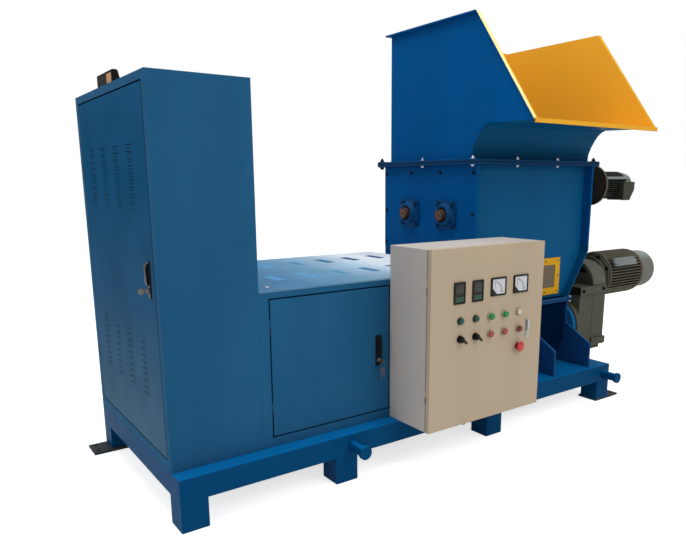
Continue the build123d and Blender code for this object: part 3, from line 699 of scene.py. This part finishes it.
@made(lock_metal, "low_door", 0.3)
def spare_keys(mesh):
    """A ring through the key's bow with two spare keys hanging from it."""
    y = key_skin - KEY_REACH
    top = key_z - 17
    hoop(mesh, "y", (key_x, top), about(y, 0.9), 11.2, 13, 28)
    for i, lean in enumerate((-0.16, 0.2)):
        near, drop, base = y - 3 + 4 * i, top - 24, key_x + 34 * lean
        tip = base + 30 * lean
        hoop(mesh, "y", (base, drop), about(near, 1), 3.4, 9.5, 20)
        prism(mesh, "y", about(near, 0.9), ((base - 3, drop - 8), (base + 3, drop - 8), (tip + 3, drop - 36),
                                            (tip, drop - 40), (tip - 3, drop - 36)))


@made(rubber, bevel=2, replaces="roof_box")
def roof_connector(mesh):
    """The roof connector, narrower towards its top."""
    x, y, z = span("roof_box")
    waist = z[0] + 0.35 * length(z)
    prism(mesh, "y", y, ((x[0], z[0]), (x[1], z[0]), (x[1] - 1, z[0] + 10), (x[1] - 5, waist),
                         (x[1] - 13, z[1] - 3), (x[1] - 17, z[1]), (x[0] + 3, z[1]), (x[0], z[1] - 3)))
    box(mesh, grown(x, -3), (y[0] + 78, y[0] + 86), (z[0] + 6, z[1] - 8))


@made(insert_tan)
def roof_connector_insert(mesh):
    x, y, z = span("roof_box")
    prism(mesh, "x", (x[0] - 0.8, x[0] + 1), rounded((y[0] + 6, y[0] + 72), (z[0] + 10, z[1] - 12), 5))


# Control panel

DOOR = "control_door"
DOOR_SKIN = span("control_box_door")[1][0]
CONTROLLERS = solids("temperature_controllers")
METERS = solids("panel_meters")
LAMPS = solids("indicator_lamps")
BUTTONS = solids("push_buttons")


@made(black, DOOR, 0.6, "temperature_controllers")
def controller_bezels(mesh):
    for x, y, z in CONTROLLERS:
        framed(mesh, "y", (y[1], y[0]), rounded(x, z, 4), inset(x, z, 5, 2))


@made(display_dark, DOOR)
def controller_faces(mesh):
    for x, y, z in CONTROLLERS:
        prism(mesh, "y", (y[1], y[0] + 2), inset(x, z, 5, 2))


@made(window_black, DOOR)
def controller_windows(mesh):
    for x, y, z in CONTROLLERS:
        prism(mesh, "y", (y[0] + 2, y[0] + 1.5), rounded(grown(x, -11), (z[1] - 52, z[1] - 12), 3))


@made(display_green, DOOR)
def controller_digits(mesh):
    """Two lit rows low on each controller and three dim digits in its window."""
    for x, y, z in CONTROLLERS:
        for low in (12, 22):
            box(mesh, grown(x, -9), (y[0] + 1.4, y[0] + 2.2), (z[0] + low, z[0] + low + 6))
        for i in range(3):
            start = x[0] + 16 + 13 * i
            box(mesh, (start, start + 8), (y[0] + 1.2, y[0] + 1.6), (z[1] - 40, z[1] - 37))


def tick(mesh, y, centre, angle, radii, width):
    """A thin mark along a ray from a centre on the panel, angle 0 pointing to the right."""
    a = math.radians(angle)
    along = Vector((math.cos(a), 0, math.sin(a)))
    side = Vector((-math.sin(a), 0, math.cos(a))) * width / 2
    start = Vector((centre[0], y, centre[1]))
    corners = (start + along * radii[0] - side, start + along * radii[1] - side,
               start + along * radii[1] + side, start + along * radii[0] + side)
    loft(mesh, [[corner + Vector((0, depth, 0)) for corner in corners] for depth in (0, 0.4)])


@made(black, DOOR, 0.5, "panel_meters")
def meter_frames(mesh):
    """Frames with a black corner under each needle's pivot."""
    for x, y, z in METERS:
        framed(mesh, "y", (y[1], y[0]), rounded(x, z, 3), inset(x, z, 7, 1.5))
        prism(mesh, "y", (y[1], y[0] + 3), inset(x, z, 6, 1.5))
        corner = ((x[0] + 6, z[0] + 6), (x[0] + 38, z[0] + 6), (x[0] + 6, z[0] + 36))
        prism(mesh, "y", (y[0] + 3, y[0] + 1), corner)


@made(dial_white, DOOR)
def meter_dials(mesh):
    for x, y, z in METERS:
        dial = ((x[0] + 34, z[0] + 8), (x[1] - 8, z[0] + 8), (x[1] - 8, z[1] - 8), (x[0] + 8, z[1] - 8),
                (x[0] + 8, z[0] + 33))
        prism(mesh, "y", (y[0] + 3, y[0] + 2), dial)


@made(rubber, DOOR)
def meter_scales(mesh):
    """Scale, arc and needle of each meter, and the unit's bar."""
    for x, y, z in METERS:
        pivot = (x[0] + 17, z[0] + 15)
        for i, angle in enumerate(steps(6, 84, 21)):
            tick(mesh, y[0] + 1.8, pivot, angle, (48 if i % 4 else 44, 53), 0.9)
        for angle in steps(7, 83, 24):
            tick(mesh, y[0] + 1.8, pivot, angle, (52.4, 53.4), 3.2)
        tick(mesh, y[0] + 1.4, pivot, 80, (16, 50), 1.1)
        box(mesh, (x[1] - 38, x[1] - 22), (y[0] + 1.8, y[0] + 2.1), (z[0] + 17, z[0] + 19.5))


@made(black, DOOR, 0.4, replaces="indicator_lamps")
def lamp_rings(mesh):
    for x, y, z in LAMPS:
        stack(mesh, (middle(x), y[1], middle(z)), NEAR, ((0, 17), (4, 17), (6, 15.5), (6, 12)), 32)


@made(lamp_green, DOOR)
def lamp_lenses(mesh):
    for x, y, z in LAMPS:
        stack(mesh, (middle(x), y[1] - 4, middle(z)), NEAR,
              ((0, 14.5), (7, 14.5), (10, 13), (12, 9.5), (13, 4)), 32)


@made(ring_grey, DOOR, 0.4, replaces="push_buttons")
def button_rings(mesh):
    for x, y, z in BUTTONS:
        section = ((y[1], 17), (y[1] - 7, 17), (y[1] - 10, 15.6), (y[1] - 10, 14.2), (y[1], 14.2))
        revolved(mesh, "y", (middle(x), middle(z)), section, 32)


def button_cap(name, spans, material, depth):
    x, y, z = spans
    profile = ((0, 14), (depth - 3, 14), (depth - 0.8, 12.6), (depth, 10))
    piece("button_" + name, lambda mesh: stack(mesh, (middle(x), y[1], middle(z)), NEAR, profile, 32),
          material, DOOR)


button_cap("start_left", BUTTONS[3], button_green, 22)
button_cap("start_right", BUTTONS[4], button_green, 22)
button_cap("reset", BUTTONS[5], button_white, 13)
button_cap("stop_left", BUTTONS[0], button_red, 20)
button_cap("stop_right", BUTTONS[1], button_red, 20)
button_cap("alarm", BUTTONS[2], alarm_red, 22)

SELECTOR_ANGLE = -40


def selector_mark(node, body):
    """A pale line along the lever of a selector."""
    x, y = span(node)[:2]
    hub = next(s for s in solids("switch_bases") if s[0][0] - 4 < x[0] < s[0][1])
    centre = middle(hub[0]), middle(hub[2])
    piece(node + "_mark", lambda mesh: tick(mesh, y[0] - 0.4, centre, SELECTOR_ANGLE, (4, 24), 2),
          lid_grey, body)


selector_mark("selector_left", "left_selector")
selector_mark("selector_right", "right_selector")
stop_x, stop_y, stop_z = span("stop_button")


@made(stop_red, "stop_head", replaces="stop_button")
def stop_head_cap(mesh):
    """A mushroom head that takes the plain one's place."""
    depth = length(stop_y)
    stack(mesh, (middle(stop_x), stop_y[1], middle(stop_z)), NEAR,
          ((0, 11), (depth - 13, 11), (depth - 12, 20), (depth - 9, 24.2), (depth - 6, 24.5),
           (depth - 3, 22.8), (depth - 1, 17.5), (depth, 9)), 40)


@made(sleeve_pink, DOOR, 0.5)
def stop_collar(mesh):
    hoop(mesh, "y", (middle(stop_x), middle(stop_z)), (DOOR_SKIN, DOOR_SKIN - 7), 16.1, 19)


handle_x, handle_y, handle_z = span("control_door_handle")


@made(handle_metal, DOOR, 1, "control_door_handle")
def panel_handle(mesh):
    """Plate and paddle of the control box's door handle."""
    x, y, z = handle_x, handle_y, handle_z
    prism(mesh, "y", (y[1], y[1] - 4), rounded(x, z, 7))
    side = ((y[1] - 4, z[1] - 6), (y[0] + 2, z[1] - 8), (y[0], z[1] - 18), (y[0] + 1, z[0] + 34),
            (y[1] - 4, z[0] + 30))
    loft(mesh, [[(w, s, h) for s, h in side] for w in grown(x, -5)])


@made(steel, DOOR, 0.4)
def panel_lock(mesh):
    stack(mesh, (middle(handle_x), handle_y[1] - 4, handle_z[0] + 16), NEAR, ((0, 8), (3, 8), (4, 7)), 24)


# The keyhole is a thin dark sheet: painted shade in the hole.
@made(rubber, DOOR)
def panel_keyhole_shade(mesh):
    box(mesh, about(middle(handle_x), 1.2), (handle_y[1] - 8.4, handle_y[1] - 8),
        (handle_z[0] + 11, handle_z[0] + 21))


@made(rubber)
def box_seal(mesh):
    """Rubber seal on the lip of the control box."""
    x, y, z = span("control_box_shell")
    framed(mesh, "y", (y[0], y[0] - 3), inset(x, z, 8, 6), inset(x, z, 20, 4))


GLAND_X = (1302, 1352)


@made(rubber, bevel=0.5)
def cable_glands(mesh):
    """Glands in the bottom of the control box."""
    y, z = span("control_box_shell")[1:]
    for gland in GLAND_X:
        stack(mesh, (gland, y[0] + 34, z[0]), DOWN, ((0, 19), (6, 19), (6, 16), (24, 15), (32, 11)), 16)


# Crusher, silo and hopper

FLANGE_SIDE_Y = (217, 603, 974)
FLANGE_FRONT_X = (1999, 2330)
FLANGE_BACK_Y = 982
FLANGE_EDGE = 16
PLATE_SCREWS = ((224, 1333), (476, 1335), (720, 1336), (948, 1333),
                (224, 1123), (948, 1123), (224, 935), (948, 935))
SHAFT_FACE = 21


def bearing_spans():
    """Each bearing's middle (y, z), the plate face it sits on, the way it stands out and its size."""
    found = []
    for x, y, z in solids("shaft_bearings"):
        left = x[0] < span("crusher_left_plate")[0][0]
        found.append((middle(y), middle(z), x[1] if left else x[0], -1 if left else 1, length(y)))
    return found


BEARINGS = bearing_spans()


@made(seam_blue)
def flange_seams(mesh):
    """The dark joints in the flanges over and under the crusher."""
    for node, level in (("crusher_flange", span("crusher_flange")[2][1]),
                        ("throat_flange", middle(span("throat_flange")[2]))):
        x, y = span(node)[:2]
        for row in (y[0] - 0.6, y[1] - 1.4):
            box(mesh, x, (row, row + 2), about(level, 2))
        for column in (x[0] - 0.6, x[1] - 1.4):
            box(mesh, (column, column + 2), y, about(level, 2))


def flange_bolts(size, corners):
    """The bolts at two opposite corners of the hopper's and the crusher's flanges, or all the others."""
    def fill(mesh):
        x, z = span("crusher_flange")[::2]
        top, bottom = span("hopper_flange")[2][1], z[0]
        sides = (x[0] + FLANGE_EDGE, x[1] - FLANGE_EDGE)
        points = [(side, row) for side in sides for row in FLANGE_SIDE_Y]
        points += [(column, row) for column in FLANGE_FRONT_X for row in (FLANGE_SIDE_Y[0], FLANGE_BACK_Y)]
        marked = ((sides[0], FLANGE_SIDE_Y[2]), (sides[1], FLANGE_SIDE_Y[0]))
        for point in points:
            if (point in marked) == corners:
                nut(mesh, (*point, top), UP, size)
                bolt(mesh, (*point, bottom), DOWN, size)
    return fill


piece("corner_bolts", flange_bolts(19, True), bolt_blue, bevel=0.4)
piece("flange_bolts", flange_bolts(14, False), zinc, bevel=0.4)


@made(bolt_blue)
def plate_bolts(mesh):
    """Dark screws that hold both side plates."""
    for x, out in ((span("crusher_left_plate")[0][0], LEFT), (span("crusher_right_plate")[0][1], RIGHT)):
        for y, z in PLATE_SCREWS:
            bolt(mesh, (x, y, z), out, 11)


@made(housing_blue, bevel=2, replaces="shaft_bearings")
def bearing_housings(mesh):
    """Square flanges with round corners, each with a round hub."""
    for y, z, face, out, size in BEARINGS:
        prism(mesh, "x", (face, face + out * 15), rounded(about(y, size / 2), about(z, size / 2), 30, 7))
        section = ((14, 64), (20, 60), (38, 56), (42, 52), (42, 41), (14, 41))
        revolved(mesh, "x", (y, z), [(face + out * height, radius) for height, radius in section], 40)


@made(rubber)
def bearing_seals(mesh):
    for y, z, face, out, size in BEARINGS:
        hoop(mesh, "x", (y, z), (face + out * 14, face + out * 36), 31, 41, 36)


@made(housing_bolt)
def bearing_bolts(mesh):
    for y, z, face, out, size in BEARINGS:
        reach = size / 2 - 19
        for bolt_y in about(y, reach):
            for bolt_z in about(z, reach):
                bolt(mesh, (face + out * 15, bolt_y, bolt_z), (out, 0, 0), 17)


def shaft_end(node, body):
    """Worn faces on both ends of a shaft, with dark discs painted as the shade in their centre holes."""
    x, y = span(node)[:2]
    centre = min(BEARINGS, key=lambda b: abs(b[0] - middle(y)))[:2]

    def discs(profile, sides):
        def fill(mesh):
            for end, out in zip(x, (LEFT, RIGHT)):
                stack(mesh, (end, *centre), out, profile, sides)
        return fill

    piece(node + "_faces", discs(((-0.5, SHAFT_FACE), (0.3, SHAFT_FACE)), 28), rust_face, body)
    piece(node + "_centres", discs(((-0.5, 6), (0.6, 5.5)), 20), rubber, body)


shaft_end("near_shaft", "near_rotor")
shaft_end("far_shaft", "far_rotor")

SKIN = 0.6
WALL = 6
CHUTE_OVERHANG = 16
CREST_Y = 225
BACK_Y = 908
THROAT_Y = 246
BEND = ((243, 1440), (228, 1478), (205, 1518), (183, 1546), (163, 1562), (140, 1572))
SHELF_Z = 1565

wall_left_x, wall_y, wall_z = span("hopper_left_wall")
wall_right_x = span("hopper_right_wall")[0]
chute_x = solids("hopper_chute")[0][0]
outer_x = (chute_x[0] + CHUTE_OVERHANG, chute_x[1] - CHUTE_OVERHANG)
inner_x = (outer_x[0] + WALL, outer_x[1] - WALL)
lip_y, (foot_z, crest_z) = wall_y[0], wall_z


@made(hopper_yellow)
def hopper_lining(mesh):
    """Yellow paint on everything inside the hopper's mouth."""
    bend = [(v + WALL, w + WALL * i / (len(BEND) - 1)) for i, (v, w) in enumerate(BEND)]
    floor_line = ((THROAT_Y + WALL, foot_z), *bend, (lip_y, SHELF_Z + WALL))
    wall = ((BACK_Y - WALL, foot_z), *floor_line, (CREST_Y, crest_z), (BACK_Y - WALL, crest_z))
    prism(mesh, "x", (inner_x[0], inner_x[0] + SKIN), wall)
    prism(mesh, "x", (inner_x[1] - SKIN, inner_x[1]), wall)
    box(mesh, inner_x, (BACK_Y - WALL - SKIN, BACK_Y - WALL), (foot_z, crest_z))
    prism(mesh, "x", inner_x, floor_line + tuple((v + SKIN, w + SKIN) for v, w in reversed(floor_line)))


def edge_paint(x):
    """Paint on the sloping edge of a hopper wall."""
    slope = Vector((CREST_Y - lip_y, crest_z - SHELF_Z)).normalized()
    v, w = -slope.y * SKIN, slope.x * SKIN
    outline = ((lip_y, SHELF_Z), (lip_y + v, SHELF_Z + w), (CREST_Y + v, crest_z + w - SKIN),
               (CREST_Y, crest_z))
    return lambda mesh: prism(mesh, "x", x, outline)


# The left wall's edge carries cream, yellow paint with a painted highlight; the right one plain yellow.
piece("left_edge_paint", edge_paint((wall_left_x[0] + 9, wall_left_x[1])), edge_highlight_cream)
piece("right_edge_paint", edge_paint((wall_right_x[0], wall_right_x[1] - 9)), window_yellow)


@made(hopper_yellow)
def lip_paint(mesh):
    x, y = span("hopper_chute")[:2]
    box(mesh, x, (y[0] - SKIN, y[0] + WALL), (SHELF_Z + WALL - 20, SHELF_Z + WALL + SKIN))


@made(worn_yellow)
def window_screws(mesh):
    """Eight screws round the window: three above, three below and one at each side."""
    x, y, z = span("window_frame")
    columns, rows = grown(x, -18), grown(z, -18)
    points = [(column, row) for column in (columns[0], middle(x), columns[1]) for row in rows]
    for column, row in points + [(column, middle(z)) for column in columns]:
        screw(mesh, (column, y[0], row), NEAR, 13)


BOSS = (2572, 850)


@made(silo_blue, bevel=0.5)
def silo_boss(mesh):
    """The welded boss high on the silo's front sheet."""
    stack(mesh, (BOSS[0], span("window_frame")[1][1], BOSS[1]), NEAR,
          ((0, 19), (3, 19), (4, 17), (4, 12), (2.5, 11)), 28)


@made(zinc)
def throat_bolts(mesh):
    x, y, z = span("throat_flange")
    for column in grown(x, -8):
        for row in (y[0] + 8, middle(y), y[1] - 8):
            bolt(mesh, (column, row, z[1]), UP, 11)
            bolt(mesh, (column, row, z[0]), DOWN, 11)


def bead(mesh, start, end, radius=4.0, pitch=7.0):
    """A weld bead with its ripples, from one point to another."""
    start, end = Vector(start), Vector(end)
    run = end - start
    count = max(2, int(run.length / pitch) * 2)
    profile = [(run.length * i / count, radius * (1.0 if i % 2 else 0.82)) for i in range(count + 1)]
    stack(mesh, start, run, profile, 8)


SUPPORT_BEAD_END = 108


@made(machine_blue)
def weld_beads(mesh):
    """Welds of the support plates on the front rail, and of the hopper."""
    rail_top = span("front_rail")[2][1]
    for x, y, z in solids("support_plates"):
        for side in x:
            bead(mesh, (side, y[0] + 8, rail_top), (side, SUPPORT_BEAD_END, rail_top))
    wall = outer_x[0]
    top = span("hopper_flange")[2][1]
    bead(mesh, (wall, THROAT_Y + 4, top), (wall, BACK_Y - 6, top))
    bead(mesh, (wall + WALL, THROAT_Y, top), (wall_right_x[0] - 4, THROAT_Y, top))
    for start, end in zip(BEND, BEND[1:]):
        bead(mesh, (wall + 3, *start), (wall + 3, *end), 3)


# Drives

MOTOR_AXIS = (300, 708)
MOTOR_RADII = (116, 142)
COWL_RADIUS = 122
SMALL_AXIS = (380, 1264)
SMALL_RADII = (70, 86)
SMALL_COWL_RADIUS = 80
FLANGE_RADIUS = 126
ADAPTOR = 53
COWL = 176
SMALL_FLANGE = 26
SMALL_COWL = 84
TERMINAL_TILT = math.radians(32)


def rod(mesh, centre, stations, radius, sides=40):
    turned(mesh, "x", centre, [(station, radius) for station in stations], sides)


def finned_body(mesh, centre, x, radii, count, thickness):
    """Cooling fins that lie flat at a motor's sides and stand upright above and below it."""
    (cy, cz), (core, outer), half = centre, radii, thickness / 2
    rod(mesh, centre, x, core - 1)
    for offset in steps(-0.7 * outer, 0.7 * outer, count):
        near = max(abs(offset), math.sqrt(max(0.0, core ** 2 - offset ** 2)) - 6)
        far = math.sqrt(outer ** 2 - offset ** 2)
        for pair in ((-far, -near), (near, far)):
            box(mesh, x, (cy + pair[0], cy + pair[1]), about(cz + offset, half))
            box(mesh, x, about(cy + offset, half), (cz + pair[0], cz + pair[1]))


def fan_cowl(mesh, centre, x, radius):
    """A pressed cowl, hollow, with a rounded shoulder at its open end."""
    start, end = x
    shoulder = ((34, 0), (16, 3), (5, 11), (1, 24), (1, 34), (4, 34), (8, 22), (18, 9), (36, 4))
    open_end = [(end - back, radius - drop) for back, drop in shoulder]
    section = ((start, radius - 2), (start + 4, radius), *open_end, (start, radius - 5))
    revolved(mesh, "x", centre, section)


def fan_guard(mesh, centre, end, radius):
    """Rings and ribs over the fan."""
    for ring in steps(radius * 0.2, radius * 0.76, 6):
        hoop(mesh, "x", centre, (end - 5, end - 2), *about(ring, 2), 40)
    for i in range(4):
        a = math.pi * i / 4
        along = Vector((0, math.cos(a), math.sin(a)))
        side = Vector((0, -math.sin(a), math.cos(a))) * 2.2
        tip = along * radius * 0.82
        corners = (-tip - side, tip - side, tip + side, side - tip)
        loft(mesh, [[Vector((x, *centre)) + corner for corner in corners] for x in (end - 7, end - 4)])


def motor_body(fins_name, barrel_name, node, centre, x, radii, fins, material):
    """A motor's fins, which stand for its node, and the barrel between them, painted dark as the shade
    between the fins.
    """
    piece(fins_name, lambda mesh: finned_body(mesh, centre, x, radii, *fins), material,
          replaces=node)
    piece(barrel_name, lambda mesh: rod(mesh, centre, x, radii[0]), barrel_shade)


def motor_fan(cowl_name, fan_name, centre, x, radius, depth, clearance, sides):
    """A motor's cowl, the guard over its fan and a dark disc behind the guard, painted shade inside the
    cowl.
    """
    shade_disc_x = (x[1] - depth, x[1] - depth + 2)
    piece(cowl_name, lambda mesh: fan_cowl(mesh, centre, x, radius), cowl_grey)
    piece(fan_name + "_guard", lambda mesh: fan_guard(mesh, centre, x[1], radius), cowl_grey)
    piece(fan_name + "_dark", lambda mesh: rod(mesh, centre, shade_disc_x, radius - clearance, sides), rubber)


motor_x = span("main_motor")[0]
body_x = (motor_x[0] + ADAPTOR, motor_x[1] - COWL)
motor_body("motor_fins", "motor_barrel", "main_motor", MOTOR_AXIS, grown(body_x, -10), MOTOR_RADII,
           (12, 5), fin_brown)


@made(drive_olive, bevel=1.5)
def motor_adaptor(mesh):
    start, end = motor_x[0], body_x[0]
    turned(mesh, "x", MOTOR_AXIS, ((start, 119), (start + 12, 119), (start + 14, 112), (end - 16, 112),
                                   (end - 14, 128), (end, 128)), 48)


def shield(station, way):
    """A bearing shield at one end of the main motor's body."""
    profile = ((0, 126), (0, 140), (9, 140), (14, 134), (14, 110))
    return lambda mesh: turned(mesh, "x", MOTOR_AXIS, [(station + way * s, r) for s, r in profile], 48)


piece("motor_front_shield", shield(body_x[0], 1), shield_grey, bevel=1.5)
piece("motor_back_shield", shield(body_x[1], -1), fin_brown, bevel=1.5)


@made(gearbox_black)
def motor_shield_bolts(mesh):
    bolt_circle(mesh, (body_x[0] - 14, *MOTOR_AXIS), 120, 8, math.tau / 16, LEFT, 13)


motor_fan("motor_cowl", "motor_fan", MOTOR_AXIS, (body_x[1] - 4, motor_x[1]), COWL_RADIUS,
          30, 16, 40)


def tilted(axis_at, x, reach, side):
    """A point by its distance from a motor's axis, on a line that rises towards the operator."""
    c, s = math.cos(TERMINAL_TILT), math.sin(TERMINAL_TILT)
    return (x, axis_at[0] - reach * c + side * s, axis_at[1] + reach * s + side * c)


def tilted_plate(mesh, axis_at, outline, reaches):
    loft(mesh, [[tilted(axis_at, u, reach, v) for u, v in outline] for reach in reaches])


@made(pale_lid, bevel=2)
def terminal_lid(mesh):
    """The pale lid of the main motor's terminal box."""
    x = span("terminal_box")[0]
    for reaches, grow in (((152, 156), 1), ((156, 167), 3)):
        tilted_plate(mesh, MOTOR_AXIS, rounded(grown(x, grow), grown((-24, 24), grow), 7), reaches)


@made(gearbox_black)
def terminal_screws(mesh):
    out = Vector(tilted(MOTOR_AXIS, 0, 1, 0)) - Vector(tilted(MOTOR_AXIS, 0, 0, 0))
    for x in grown(span("terminal_box")[0], -9):
        for side in (-17, 17):
            screw(mesh, tilted(MOTOR_AXIS, x, 167, side), out, 8)


small_x = span("crusher_motor")[0]
cowl_start = small_x[1] - SMALL_COWL
motor_body("small_motor_fins", "small_barrel", "crusher_motor", SMALL_AXIS,
           (small_x[0] + SMALL_FLANGE, cowl_start + 4), SMALL_RADII, (10, 4), small_grey)


@made(flange_grey, bevel=1)
def small_motor_flange(mesh):
    profile = ((0, FLANGE_RADIUS), (16, FLANGE_RADIUS), (20, FLANGE_RADIUS - 5), (23, 90),
               (SMALL_FLANGE, 84))
    turned(mesh, "x", SMALL_AXIS, [(small_x[0] + s, r) for s, r in profile], 48)


@made(gearbox_black)
def small_motor_bolts(mesh):
    bolt_circle(mesh, (small_x[0] + 18, *SMALL_AXIS), 110, 6, 0.4, RIGHT, 12)


motor_fan("small_motor_cowl", "small_fan", SMALL_AXIS, (cowl_start, small_x[1]), SMALL_COWL_RADIUS,
          24, 12, 36)


@made(pale_lid, bevel=1)
def small_motor_highlight_strip(mesh):
    """A pale strip along the crusher motor's near upper side, a painted highlight."""
    tilted_plate(mesh, SMALL_AXIS, rounded((small_x[0] + 34, small_x[1] - 60), (-9, 9), 3), (78, 87.5))


@made(small_lid_grey, bevel=1.5)
def small_terminal_lid(mesh):
    """The small terminal box's lid, with its lower right corner cut like the box."""
    (left, right), y, (low, high) = span("small_terminal_box")
    left, right, low, high = left - 2, right + 2, low - 2, high + 2
    outline = ((left, low), (right - 45, low), (right, low + 67), (right, high), (left, high))
    prism(mesh, "y", (y[0] - 3, y[0] + 8), outline)


@made(gearbox_black, bevel=1.5)
def gearbox_rims(mesh):
    """Raised rims at both ends of the crusher's gearbox."""
    x = span("crusher_gearbox")[0]
    for start in (x[0], x[1] - 12):
        hoop(mesh, "x", SMALL_AXIS, (start, start + 12), 100, 124.5, 48)


SEAM_X = 2668
CASE_Y = (160, 440)
BAND_X = (2529.2, 2531)
BAND_Y = (148, 452)
BAND_Z = (620, 668)
BAND_SCREWS_X = (2556, 2752)
CROWN = 140
CROWN_END = 2788
CROWN_PLUG_X = 2730
CASE_PLUGS = ((2590, 500), (2590, 345))
CROWN_AXIS = (MOTOR_AXIS[0], BAND_Z[1])


def arc(centre, radius, first, last, count):
    """Points on a part of a circle, between two shares of half a turn."""
    return [(centre[0] + radius * math.cos(a), centre[1] + radius * math.sin(a))
            for a in steps(math.pi * first, math.pi * last, count)]


@made(rubber)
def reducer_seams(mesh):
    """The joint between the two halves of the reducer's case."""
    low = span("gear_reducer")[2][0] + 78
    for y in ((CASE_Y[0] - 0.5, CASE_Y[0] + 1.5), (CASE_Y[1] - 1.5, CASE_Y[1] + 0.5)):
        box(mesh, about(SEAM_X, 1), y, (low, BAND_Z[0]))


@made(rubber)
def reducer_recess_shade(mesh):
    """A flat dark sheet in the upper part of the round cover's left face, painted as the shade of a hollow.
    """
    prism(mesh, "x", about(SEAM_X, 1), arc(CROWN_AXIS, 119, 0.2, 0.8, 25))


@made(gearbox_black)
def band_end_shade(mesh):
    """Painted shade on the left end of the clamp band: a thin dark sheet over its end face."""
    box(mesh, BAND_X, grown(BAND_Y, -1), grown(BAND_Z, -1))


@made(crown_grey)
def crown_highlight(mesh):
    """Lighter paint on the round crown, a painted highlight of the light from above."""
    centre = (CROWN_AXIS[0], CROWN_AXIS[1] + 1)
    outer = [(centre[0] + (CROWN + 0.4) * math.cos(a), centre[1] + CROWN * math.sin(a))
             for a in steps(0, math.pi, 33)]
    prism(mesh, "x", (SEAM_X + 2, CROWN_END), outer + arc(centre, CROWN - 2, 1, 0, 33))


@made(drive_olive, bevel=1)
def reducer_rim(mesh):
    section = ((1, CROWN - 0.5), (-5, CROWN - 2), (-5, 121), (1, 119))
    revolved(mesh, "x", CROWN_AXIS, [(SEAM_X + s, r) for s, r in section])


@made(gearbox_black)
def reducer_bolts(mesh):
    """Cap screws through the clamp band, and the lifting eye's plug."""
    for x in BAND_SCREWS_X:
        for y, out in zip(BAND_Y, (NEAR, FAR)):
            stack(mesh, (x, y, middle(BAND_Z)), out, ((0, 10), (6, 10), (7, 9), (7, 5.5), (4, 5)), 20)
    stack(mesh, (CROWN_PLUG_X, CROWN_AXIS[0], CROWN_AXIS[1] + CROWN - 2), UP,
          ((0, 11), (4, 11), (4, 8), (9, 8), (11, 5)), 16)


@made(shield_grey)
def case_plugs(mesh):
    """The level and drain plugs in the reducer's near side."""
    for x, z in CASE_PLUGS:
        bolt(mesh, (x, CASE_Y[0], z), NEAR, 10)


@made(rim_highlight_blue)
def bell_rim_highlight(mesh):
    """A painted highlight on the edge of the round flange on the support plate: a brighter blue ring."""
    x, y, z = span("bell_flange")
    radius = length(z) / 2
    hoop(mesh, "x", (middle(y), middle(z)), (x[1] - 9, x[1] - 0.5), radius - 4, radius + 0.8, 64)


# Floor, light and camera

FLOOR_Z = -0.0005


def shown_share(nodes):
    """1 for the camera, glossy and transmission rays, which see the white background."""
    path = nodes.add("LightPath", {}).outputs
    share = path["Is Camera Ray"]
    for ray in ("Is Glossy Ray", "Is Transmission Ray"):
        either = nodes.add("Math", {}, operation="MAXIMUM")
        nodes.tree.links.new(share, either.inputs[0])
        nodes.tree.links.new(path[ray], either.inputs[1])
        share = either.outputs[0]
    return share


def white_world(level):
    """A world that lights the object at a level and shows white behind it."""
    world = bpy.data.worlds.new("studio")
    bpy.context.scene.world = world
    world.use_nodes = True
    nodes = Nodes(world.node_tree)
    strength = nodes.between(shown_share(nodes), level, 1.0)
    nodes.feed(world.node_tree.nodes["Background"], {"Color": (1, 1, 1), "Strength": strength})


def pale_floor(glow):
    """A floor that keeps the object's shadow and runs into the white behind it."""
    look = Look("pale floor")
    look.feed(look.shader, {"Base Color": (0.86, 0.86, 0.86), "Roughness": 0.9})
    light = look.add("Emission", {"Strength": look.between(shown_share(look), 0.0, glow)})
    both = look.add("AddShader", {})
    for source, socket in zip((look.shader, light), both.inputs):
        look.tree.links.new(source.outputs[0], socket)
    output = next(n for n in look.tree.nodes if n.type == "OUTPUT_MATERIAL")
    look.feed(output, {"Surface": both.outputs["Shader"]})
    grid = bmesh.new()
    bmesh.ops.create_grid(grid, x_segments=8, y_segments=8, size=30)
    item = shown("floor", grid, look.material)
    item.location.z = FLOOR_Z


def lamp(name, stand, target, size, power, colour):
    """A square soft lamp, in metres and watts."""
    data = bpy.data.lights.new(name, "AREA")
    data.shape = "SQUARE"
    data.size = size
    data.energy = power
    data.color = colour
    item = linked(name, data)
    item.location = stand
    item.rotation_euler = (Vector(target) - Vector(stand)).to_track_quat("-Z", "Y").to_euler()


def photo_camera():
    """The camera that was fitted to the photograph's long edges."""
    data = bpy.data.cameras.new("camera")
    data.sensor_fit = "HORIZONTAL"
    data.sensor_width = 36
    data.lens = 33.872
    data.shift_x = -0.03656
    data.shift_y = 0.06222
    data.clip_start = 0.05
    data.clip_end = 100
    item = linked("camera", data)
    item.location = (-0.77418, -2.24074, 1.28963)
    item.rotation_euler = tuple(math.radians(a) for a in (78.10025, 0.14166, -35.84718))
    bpy.context.scene.camera = item


white_world(0.42)
pale_floor(0.7)
lamp("key", (2.6, -4.5, 4.2), (1.4, 0.4, 0.8), 3.0, 115, (1, 0.97, 0.92))
lamp("top", (0.8, 0.2, 5.0), (1.4, 0.5, 0.8), 3.5, 150, (0.92, 0.96, 1))
lamp("fill", (-4.5, -0.5, 2.2), (0.5, 0.5, 0.8), 3.0, 45, (0.96, 0.98, 1))
photo_camera()
bpy.context.scene.view_settings.view_transform = "Standard"
